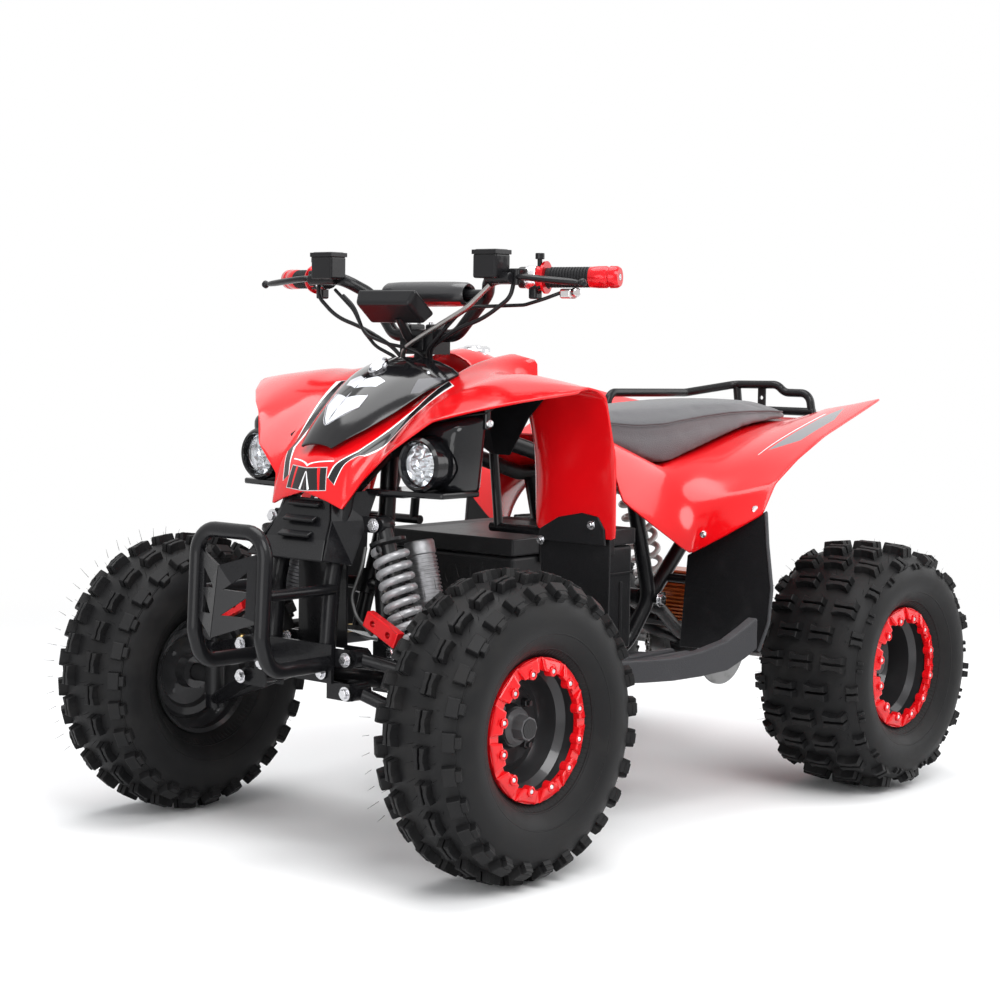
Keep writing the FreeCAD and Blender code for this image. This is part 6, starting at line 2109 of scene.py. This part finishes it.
@dataclass
class Chassis:
    """Finishes of the carried-over solids and the fittings round them."""

    plate_wall: float = 0.004
    chain_line: float = -0.062
    chain_pitch: float = 0.0127
    chain_radii: tuple[float, float] = (0.078, 0.030)

    def build(self) -> None:
        """Dress the solids and add springs, bumper, bolts, box, chain and plates."""
        self.dress()
        self.springs()
        self.bumper()
        self.fittings()
        self.battery()
        self.chain()
        self.plates()

    def dress(self) -> None:
        """Give each carried-over solid its finish."""
        powder = Paint("frame black powder", (0.007, 0.007, 0.008), 0.28, 0.15, 0.0, 1100.0,
                       0.0002, 0.005).make()
        zinc = Metal("axle zinc", (0.22, 0.22, 0.22), 0.36).make()
        gold = Metal("tie rod gold zinc", (0.70, 0.52, 0.22), 0.30).make()
        drive = Paint("motor copper lacquer", (0.55, 0.13, 0.02), 0.34, 0.3, 0.35, 600.0, 0.0002, 0.03).make()
        hose = Paint("cable black", (0.010, 0.010, 0.011), 0.40, 0.1, 0.0, 900.0, 0.0001, 0.01).make()
        cast = Paint("knuckle black", (0.020, 0.020, 0.021), 0.42, 0.1, 0.2, 300.0, 0.0004, 0.02).make()
        finishes = {"front_frame": powder, "frame": powder, "rear_frame": powder, "handlebar": powder,
                    "control_arms": powder, "rear_carrier": powder, "rear_rack": powder, "rear_axle": zinc,
                    "motor": drive, "tie_rod_left": gold, "tie_rod_right": gold, "knuckle_left": cast,
                    "knuckle_right": cast, "cables": hose}
        for name, material in finishes.items():
            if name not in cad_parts:
                continue
            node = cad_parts[name]
            for index in range(max(1, len(node.data.materials))):
                if index < len(node.material_slots):
                    node.material_slots[index].material = material
                else:
                    node.data.materials.append(material)
            log.info("%s: finished as %s", name, material.name)

    def springs(self) -> None:
        """Dampers, coils and reservoirs of both ends."""
        grey = Paint("spring grey", (0.30, 0.30, 0.31), 0.28, 0.5, 0.3, 700.0, 0.0001, 0.04).make()
        alloy = Metal("damper alloy", (0.28, 0.28, 0.29), 0.45).make()
        black = Paint("damper black", (0.012, 0.012, 0.013), 0.35, 0.3, 0.0, 900.0, 0.0001, 0.01).make()
        pale = Paint("rear spring white", (0.66, 0.66, 0.64), 0.26, 0.5, 0.0, 700.0, 0.0001, 0.02).make()
        coils, bodies, tanks = [], [], []
        for side in Side:
            sign = side.value
            top, foot = at(1.030, sign * 0.117, 0.535), at(1.0298, sign * 0.192, 0.3118)
            along = (foot - top).normalized()
            coils.append(Work.coil("coil", top + along * 0.040, foot - along * 0.046, 0.0245, 0.0066, 8))
            bodies += self.damper(top, foot, along, (1, 0, 0), 0.030, 0.026, 0.034)
            tanks += self.reservoir(at(0.962, sign * 0.130, 0.505), at(0.962, sign * 0.158, 0.397))
        gather("front_coils", coils).finish(grey, "chassis", "grey_paint", "front_springs")
        gather("front_dampers", bodies).finish(black, "chassis", "zinc", "front_shocks")
        gather("reservoirs", tanks).finish(alloy, "chassis", "grey_paint")
        top, foot = at(0.235, 0.0, 0.5817), at(0.146, 0.0, 0.335)
        along = (foot - top).normalized()
        Work.coil("rear_coil", top + along * 0.044, foot - along * 0.044, 0.0265, 0.0056, 6).finish(
            pale, "chassis", "grey_paint")
        gather("rear_damper", self.damper(top, foot, along, (0, 1, 0), 0.0318, 0.030, 0.030)).finish(
            black, "chassis", "zinc", "rear_shock")

    def damper(self, top: Vector, foot: Vector, along: Vector, axis: Point, seat: float, high: float,
               low: float) -> list[Work]:
        """Body, rod, seats and eyes of one damper.

        Args:
            top: middle of the upper eye.
            foot: middle of the lower eye.
            along: direction from top to foot.
            axis: axis of both eyes.
            seat: radius of the spring seats.
            high: distance of the upper seat from the upper eye.
            low: distance of the lower seat from the lower eye.

        Returns:
            The parts of the damper.
        """
        length = (foot - top).length
        profile = [(0.0, 0.008), (0.0120, 0.008), (0.0120, high), (seat, high), (seat, high + 0.005),
                   (0.0130, high + 0.008), (0.0130, length * 0.55), (0.0115, length * 0.56),
                   (0.0058, length * 0.56), (0.0058, length - low - 0.008),
                   (seat - 0.004, length - low - 0.006), (seat, length - low - 0.004), (seat, length - low),
                   (0.0100, length - low + 0.002), (0.0085, length - 0.008), (0.0, length - 0.008)]
        body = Work.lathe("body", profile, top, along, 40).smooth(40.0)
        eyes = []
        for centre in (top, foot):
            eyes.append(Work.lathe("eye", [(0.0056, -0.0134), (0.0110, -0.0134), (0.0128, -0.0105),
                                           (0.0128, 0.0105), (0.0110, 0.0134), (0.0056, 0.0134)], centre,
                                   axis, 32).smooth())
        return [body] + eyes

    def reservoir(self, top: Vector, foot: Vector) -> list[Work]:
        """Ribbed reservoir beside a damper.

        Args:
            top: middle of its upper end.
            foot: middle of its lower end.

        Returns:
            Its one part.
        """
        length = (foot - top).length
        profile = [(0.0, 0.0), (0.023, 0.0), (0.025, 0.003), (0.025, 0.022)]
        for index in range(12):
            start = 0.024 + index * (length - 0.036) / 12
            profile += [(0.0232, start), (0.0232, start + 0.0028), (0.0252, start + 0.0036),
                        (0.0252, start + 0.0062)]
        profile += [(0.0235, length - 0.008), (0.018, length), (0.0, length)]
        return [Work.lathe("tank", profile, top, foot - top, 40).smooth(40.0)]

    def bumper(self) -> None:
        """Tube hoop with its folded and pierced centre plate."""
        powder = Paint("bumper black powder", (0.007, 0.007, 0.008), 0.28, 0.15, 0.0, 900.0,
                       0.0002, 0.006).make()
        half = [(1.250, 0.078, 0.530), (1.258, 0.078, 0.365), (1.242, 0.078, 0.315), (1.1193, 0.078, 0.315)]
        line = route(reversed(half), -1) + route(half)
        parts = [Work.tube("hoop", line, 0.0125, 0.040, 10)]
        for side in (-1, 1):
            stay = Work.drum("stay", 0.009, 0.134, at(1.1872, side * 0.070, 0.432), (1, 0, 0), 24)
            parts.append(stay.smooth())
            upper, lower = at(1.276, 0.0, 0.478), at(1.292, 0.0, 0.366)
            far_up, far_low = at(1.253, side * 0.070, 0.500), at(1.257, side * 0.070, 0.392)
            wing = Work.sheet("wing", [[upper, far_up], [lower, far_low]]).thicken(self.plate_wall)
            for high, low in ((0.22, 0.50), (0.58, 0.86)):
                spots = [upper.lerp(lower, down).lerp(far_up.lerp(far_low, down), out)
                         for down, out in (((high + low) / 2, 0.16), (high, 0.70), (low, 0.70))]
                wing.cut(self.prism(spots))
            parts.append(wing.soften(0.0012, 2))
        gather("bumper_hoop", parts).finish(powder, "chassis", "frame_black", "front_bumper")
        self.shield(powder)

    def prism(self, spots: Sequence[Vector]) -> Work:
        """Three-sided cutter through a plate.

        Args:
            spots: its three corners on the plate.

        Returns:
            The piece in the making.
        """
        normal = (spots[1] - spots[0]).cross(spots[2] - spots[0]).normalized()
        made = Work.outline("prism", [spot - normal * 0.02 for spot in spots], "NGON")
        made.edit()
        bpy.ops.mesh.select_all(action="SELECT")
        bpy.ops.mesh.extrude_region_move(TRANSFORM_OT_translate={"value": tuple(normal * 0.04)})
        made.merge()
        made.object()
        return made

    def shield(self, powder: bpy.types.Material) -> None:
        """Centre fairing below the nose: flared plate, louvres and side cheeks.

        Args:
            powder: finish of the plates.
        """
        rows = [[at(1.083, y * 0.80, 0.574) for y in (-0.062, -0.03, 0.03, 0.062)],
                [at(1.095, y, 0.540) for y in (-0.060, -0.03, 0.03, 0.060)],
                [at(1.112, y, 0.510) for y in (-0.068, -0.034, 0.034, 0.068)],
                [at(1.137, y, 0.480) for y in (-0.086, -0.045, 0.045, 0.086)]]
        parts = [Work.sheet("shield", rows).thicken(self.plate_wall).soften(0.0012)]
        for index in range(3):
            z = 0.566 - index * 0.024
            parts.append(Work.block("louvre", (0.014, 0.070, 0.005), at(1.092 + index * 0.011, 0.0, z),
                                    (0, 28, 0)).soften(0.0015))
        for side in (-1, 1):
            front = route(((1.083, 0.052, 0.582), (1.095, 0.062, 0.540), (1.137, 0.088, 0.481)), side)
            back = route(((1.020, 0.094, 0.590), (1.040, 0.090, 0.540), (1.075, 0.090, 0.470)), side)
            parts.append(Work.sheet("cheek", [front, back]).thicken(self.plate_wall).soften(0.001))
        gather("nose_shield", parts).finish(powder, "chassis", "frame_black", "shield_plate")
        Work.block("nose_backing", (0.004, 0.112, 0.150), at(1.050, 0.0, 0.405)).soften(0.001).finish(
            powder, "chassis", "frame_black")

    def fittings(self) -> None:
        """Bolts, nuts and the red blocks on the brake lines."""
        steel = Metal("bolt steel", (0.66, 0.66, 0.68), 0.24).make()
        bolts = []
        for side in (-1, 1):
            for x in (1.1195, 1.0145):
                for z in (0.326, 0.272):
                    bolts.append(self.bolt(at(x, side * 0.122, z), (1, 0, 0), 0.0085))
            bolts.append(self.bolt(at(1.0535, side * 0.117, 0.535), (1, 0, 0), 0.0085))
            bolts.append(self.bolt(at(1.1215, side * 0.070, 0.300), (1, 0, 0), 0.008))
            bolts.append(self.bolt(at(0.322, side * 0.146, 0.356), (0, side, 0), 0.010))
            for x, y, z in ((0.7528, 0.215, 0.500), (0.7528, 0.322, 0.532)):
                bolts.append(self.bolt(at(x, side * y, z), (1, 0, 0), 0.0055))
        gather("frame_bolts", bolts).finish(steel, "chassis", "zinc")
        red = Paint("block anodised red", (0.62, 0.006, 0.010), 0.28, 0.3, 0.4, 600.0, 0.0001, 0.02).make()
        blocks = []
        for side in (-1, 1):
            block = Work.block("block", (0.016, 0.074, 0.027), ORIGIN).soften(0.002, 2)
            for y in (-0.018, 0.018):
                block.cut(Work.drum("hole", 0.0055, 0.05, (0, y, 0), (1, 0, 0), 20))
            tilt = Matrix.Rotation(side * math.radians(-24.0), 4, "X")
            block.move(Matrix.Translation(at(1.092, side * 0.178, 0.378)) @ tilt)
            blocks.append(block)
        gather("brake_blocks_red", blocks).finish(red, "chassis", "ring_red")
        hoses = []
        for side in (-1, 1):
            line = ((1.088, 0.150, 0.366), (1.086, 0.113, 0.390), (1.087, 0.102, 0.421),
                    (1.082, 0.120, 0.470), (1.066, 0.112, 0.500))
            hoses.append(Work.tube("hose", route(line, side), 0.0030, 0.03, 5))
        gather("brake_hoses", hoses).finish(
            Metal("brake hose braid", (0.07, 0.07, 0.07), 0.5, BRAID).make(), "chassis", "zinc")

    def bolt(self, place: Vector, axis: Point, radius: float) -> Work:
        """Hex head on its washer.

        Args:
            place: middle of the washer's foot.
            axis: direction it points in.
            radius: radius of the head.

        Returns:
            The piece in the making.
        """
        way = Vector(axis).normalized()
        washer = Work.drum("washer", radius * 1.35, 0.0018, place + way * 0.0009, way, 24)
        head = Work.drum("head", radius, 0.0055, place + way * 0.0045, way, 6, radius * 0.94)
        return washer.soften(0.0003, 1).join([head.soften(0.0007, 1)])

    def battery(self) -> None:
        """Battery case with its lid, ribs and catches."""
        black = Grained("battery case black", (0.014, 0.014, 0.015), 0.42, 500.0, 0.0002).make()
        case = Work.block("case", (0.335, 0.300, 0.188), at(0.5825, 0.0, 0.3705)).soften(0.006, 3)
        lid = Work.block("lid", (0.343, 0.308, 0.030), at(0.5825, 0.0, 0.4815))
        lid.inset(lambda spot, normal: normal.z > 0.9, (0.018, -0.004))
        lid.soften(0.003, 2)
        parts = [case, lid]
        for side in (-1, 1):
            parts.append(Work.block("seam", (0.339, 0.004, 0.004),
                                    at(0.5825, side * 0.1505, 0.415)).soften(0.001))
            for index in range(5):
                x = 0.450 + index * 0.066
                parts.append(Work.block("rib", (0.006, 0.005, 0.110),
                                        at(x, side * 0.1510, 0.345)).soften(0.0015))
            for x in (0.49, 0.67):
                parts.append(Work.block("catch", (0.026, 0.006, 0.034),
                                        at(x, side * 0.1545, 0.468)).soften(0.0018))
        gather("battery_case", parts).finish(black, "chassis", "black_plastic", "battery_box")

    def chain(self) -> None:
        """Roller chain round both sprockets."""
        steel = Metal("chain steel", (0.17, 0.165, 0.16), 0.40).make()
        big, small = at(0.0, self.chain_line, 0.231), at(0.045, self.chain_line, 0.330)
        radii = self.chain_radii
        run = small - big
        base = math.atan2(run.z, run.x)
        lean = math.acos((radii[0] - radii[1]) / run.length)
        straight = math.sqrt(run.length ** 2 - (radii[0] - radii[1]) ** 2)
        spans = (radii[0] * (math.tau - 2 * lean), straight, radii[1] * 2 * lean, straight)
        total = sum(spans)
        count = 2 * round(total / self.chain_pitch / 2)
        links = []
        for index in range(count):
            place, turn = self.on_belt(index * total / count, big, small, radii, base, lean, spans)
            wide = 0.0105 if index % 2 else 0.0070
            plates = []
            for side in (-1, 1):
                plates.append(Work.block("plate", (0.0165, 0.0016, 0.0088),
                                         (0.0, side * wide / 2, 0.0)).soften(0.0020, 1))
            plates.append(Work.drum("roller", 0.0040, 0.0066, (0.0064, 0.0, 0.0), (0, 1, 0), 10))
            link = gather("link", plates)
            link.move(Matrix.Translation(place) @ Matrix.Rotation(-turn, 4, "Y"))
            links.append(link)
        gather("roller_chain", links).finish(steel, "chassis", "zinc", "chain")

    def on_belt(self, reach: float, big: Vector, small: Vector, radii: tuple[float, float], base: float,
                lean: float, spans: tuple[float, float, float, float]) -> tuple[Vector, float]:
        """Place and heading at a distance along the chain.

        Args:
            reach: distance from where the chain leaves the wheel below.
            big: middle of the large sprocket.
            small: middle of the small sprocket.
            radii: radius of the chain on each.
            base: angle of the line from the large to the small one.
            lean: half the angle that the small one is wrapped by.
            spans: lengths of the four stretches.

        Returns:
            The place and the angle of the chain in the side view.
        """
        if reach < spans[0]:
            angle = base + lean + reach / radii[0]
            return big + spoke(angle) * radii[0], angle + math.pi / 2
        reach -= spans[0]
        if reach < spans[1]:
            angle = base - lean
            out = spoke(angle)
            start, end = big + out * radii[0], small + out * radii[1]
            return start.lerp(end, reach / spans[1]), angle + math.pi / 2
        reach -= spans[1]
        if reach < spans[2]:
            angle = base - lean + reach / radii[1]
            return small + spoke(angle) * radii[1], angle + math.pi / 2
        reach -= spans[2]
        angle = base + lean
        out = spoke(angle)
        start, end = small + out * radii[1], big + out * radii[0]
        return start.lerp(end, reach / spans[3]), angle + math.pi / 2

    def plates(self) -> None:
        """Flaps behind the wheels, the tail flaps' folded lips in a grey that is a painted highlight, and the
        footrests with their bars and floor.
        """
        flap = Grained("flap black", (0.010, 0.010, 0.011), 0.40, 260.0, 0.0002).make()
        # Grey of the tail flaps' folded lips, lighter than the black flap: a painted highlight on the fold
        edge = Grained("flap edge grey", (0.055, 0.056, 0.060), 0.5, 300.0, 0.0002).make()
        step = Grained("footrest grey black", (0.035, 0.035, 0.038), 0.46, 420.0, 0.0003).make()
        fronts, tails, lips, rests = [], [], [], []
        for side in (-1, 1):
            fronts.append(self.flap(side, 0.7395, ((0.200, 0.600), (0.352, 0.600), (0.352, 0.500),
                                                   (0.350, 0.322), (0.300, 0.306), (0.235, 0.300),
                                                   (0.206, 0.450))))
            fronts.append(self.flap(side, 0.7506, ((0.206, 0.500), (0.212, 0.520), (0.250, 0.541),
                                                   (0.300, 0.551), (0.334, 0.546), (0.348, 0.526),
                                                   (0.350, 0.500))))
            tails.append(self.flap(side, 0.2932, ((0.186, 0.440), (0.265, 0.484), (0.358, 0.533),
                                                  (0.363, 0.472), (0.374, 0.392), (0.369, 0.330),
                                                  (0.348, 0.275), (0.172, 0.268))))
            lip = Work.tube("lip", [at(0.2945, side * y, z) for y, z in ((0.357, 0.530), (0.362, 0.472),
                                                                         (0.373, 0.394), (0.368, 0.332),
                                                                         (0.348, 0.279))], 0.0032, 0.05, 4)
            lips.append(lip)
            rests += self.footrest(side)
        gather("front_flaps", fronts).finish(flap, "chassis", "black_plastic", "fender_flaps")
        gather("rear_flaps", tails).finish(flap, "chassis", "black_plastic", "tail_flaps")
        gather("rear_flap_lips", lips).finish(edge, "chassis", "grey_paint")
        gather("footrest_rails", rests).finish(step, "chassis", "black_plastic", "footrests")

    def flap(self, side: int, x: float, outline: Sequence[tuple[float, float]]) -> Work:
        """Flat flap from its outline in the front view."""
        made = Work.outline("flap", [at(x, side * y, z) for y, z in outline], "NGON")
        return made.thicken(self.plate_wall).soften(0.0014, 2)

    def footrest(self, side: int) -> list[Work]:
        """Outer rail, its foot bars and the floor sheet of one side.

        Args:
            side: 1 for the left, -1 for the right.

        Returns:
            Its parts.
        """
        rows = ((0.690, 0.330, 0.262, 0.300), (0.620, 0.345, 0.258, 0.297), (0.560, 0.358, 0.256, 0.296),
                (0.500, 0.371, 0.258, 0.302), (0.440, 0.384, 0.264, 0.316), (0.400, 0.392, 0.281, 0.336),
                (0.372, 0.398, 0.296, 0.352))
        skin = [[at(x, side * y, low), at(x, side * y, high), at(x, side * (y - 0.022), high),
                 at(x, side * (y - 0.022), low), at(x, side * y, low)] for x, y, low, high in rows]
        rail = Work.sheet("rail", skin)
        rail.edit()
        rail.merge()
        bpy.ops.mesh.select_mode(type="EDGE")
        rail.fill_ends(8)
        rail.object()
        parts = [rail.soften(0.004, 3)]
        for y in (0.300, 0.262):
            parts.append(Work.block("bar", (0.196, 0.016, 0.014),
                                    at(0.540, side * y, 0.283)).soften(0.003, 2))
        for x, reach in ((0.640, 0.336), (0.440, 0.378)):
            start, end = at(x, side * 0.1143, 0.262), at(x, side * reach, 0.280)
            parts.append(Work.drum("carrier", 0.009, (end - start).length, (start + end) / 2,
                                   end - start, 20).smooth())
        floor = Work.block("floor", (0.190, 0.120, 0.003), at(0.540, side * 0.180, 0.268)).soften(0.0008, 1)
        return parts + [floor]


# Studio


# Rays that see the studio as plain white, beside those of the camera
OTHER_RAYS = ("Is Glossy Ray", "Is Transmission Ray")

# Name, place, what it looks at, size in metres and power in watts
LAMPS = (("key", (1.6, 2.8, 3.4), (0.0, 0.0, 0.4), 2.6, 125.0),
         ("top", (0.2, -0.4, 3.8), (0.0, 0.0, 0.5), 3.0, 100.0),
         ("rim", (-2.4, 1.6, 1.9), (-0.2, 0.0, 0.5), 2.8, 50.0),
         ("fill", (3.6, 1.0, 0.9), (0.3, 0.1, 0.5), 2.4, 45.0))


@dataclass
class Studio:
    """Pale floor, soft lamps and the camera."""

    eye: tuple[float, float, float] = (3.4855, 2.486, 0.846)
    heading: float = 0.713
    dip: float = 0.0787
    roll: float = 0.0142
    lens: float = 76.79

    def camera(self) -> None:
        """Camera at the photograph's viewing angle."""
        ch, sh, cd, sd = (math.cos(self.heading), math.sin(self.heading), math.cos(self.dip),
                          math.sin(self.dip))
        ahead = Vector((-cd * ch, -cd * sh, -sd))
        right = Vector((-sh, ch, 0.0))
        up = right.cross(ahead)
        cr, sr = math.cos(self.roll), math.sin(self.roll)
        right, up = right * cr + up * sr, up * cr - right * sr
        data = bpy.data.cameras.new("camera")
        data.lens, data.sensor_width, data.sensor_fit = self.lens, 36.0, "HORIZONTAL"
        camera = bpy.data.objects.new("camera", data)
        camera.matrix_world = Matrix((right, up, -ahead)).transposed().to_4x4()
        camera.location = at(*self.eye)
        bpy.context.scene.collection.objects.link(camera)
        bpy.context.scene.camera = camera

    def lamp(self, name: str, place: Point, target: Point, size: float, power: float) -> None:
        """Large soft lamp that looks at a point.

        Args:
            name: name of the lamp.
            place: where it stands.
            target: point it looks at.
            size: width of its disc.
            power: watts.
        """
        data = bpy.data.lights.new(name, "AREA")
        data.shape, data.size, data.energy = "DISK", size, power
        lamp = bpy.data.objects.new(name, data)
        place = Vector(place)
        lamp.rotation_euler = (Vector(target) - place).to_track_quat("-Z", "Y").to_euler()
        lamp.location = place
        bpy.context.scene.collection.objects.link(lamp)

    def floor(self) -> None:
        """Wide pale floor that fades to white far from the bike."""
        deselect()
        bpy.ops.mesh.primitive_plane_add(size=60.0, location=(0.0, 0.0, 0.0))
        ground = bpy.context.view_layer.objects.active
        ground.name = "floor"
        recipe = Recipe("floor white")
        recipe.fill(Base_Color=(0.88, 0.88, 0.88), Roughness=0.75, Specular_IOR_Level=0.1)
        x, y, _ = recipe.axes()
        far = ((x * x) + (y * y)).root().step(1.5, 3.2)
        path = recipe.node("ShaderNodeLightPath", {})
        seen = Signal(recipe, path.outputs["Is Camera Ray"])
        for name in OTHER_RAYS:
            seen = seen.high(Signal(recipe, path.outputs[name]))
        glow = recipe.node("ShaderNodeEmission", {}, (1.0, 1.0, 1.0, 1.0), 1.0)
        mix = recipe.node("ShaderNodeMixShader", {}, far * seen, recipe.shader.outputs[0], glow.outputs[0])
        recipe.tree.links.new(mix.outputs[0], recipe.output.inputs[0])
        ground.data.materials.append(recipe.material)

    def world(self) -> None:
        """Even pale sky, white to the camera and in reflections."""
        world = bpy.data.worlds.new("studio sky")
        bpy.context.scene.world = world
        world.use_nodes = True
        tree = world.node_tree
        tree.nodes.clear()
        output = tree.nodes.new("ShaderNodeOutputWorld")
        mix = tree.nodes.new("ShaderNodeMixShader")
        soft = tree.nodes.new("ShaderNodeBackground")
        soft.inputs["Color"].default_value = (0.95, 0.97, 1.0, 1.0)
        soft.inputs["Strength"].default_value = 0.55
        plain = tree.nodes.new("ShaderNodeBackground")
        plain.inputs["Color"].default_value = (1.0, 1.0, 1.0, 1.0)
        path = tree.nodes.new("ShaderNodeLightPath")
        seen = path.outputs["Is Camera Ray"]
        for name in OTHER_RAYS:
            either = tree.nodes.new("ShaderNodeMath")
            either.operation = "MAXIMUM"
            tree.links.new(seen, either.inputs[0])
            tree.links.new(path.outputs[name], either.inputs[1])
            seen = either.outputs[0]
        tree.links.new(seen, mix.inputs[0])
        tree.links.new(soft.outputs[0], mix.inputs[1])
        tree.links.new(plain.outputs[0], mix.inputs[2])
        tree.links.new(mix.outputs[0], output.inputs[0])

    def build(self) -> None:
        """Set up the whole studio."""
        self.camera()
        self.floor()
        self.world()
        for lamp in LAMPS:
            self.lamp(*lamp)
        bpy.context.scene.view_settings.view_transform = "Standard"


def main() -> None:
    """Build the scene in order and note its sizes."""
    logging.basicConfig(level=logging.INFO, format="%(message)s")
    Studio().build()
    RollingGear().build()
    Bodywork().build()
    Saddle().build()
    Headlamps().build()
    Cockpit().build()
    Chassis().build()
    bpy.context.view_layer.update()


if __name__ == "__main__":
    main()
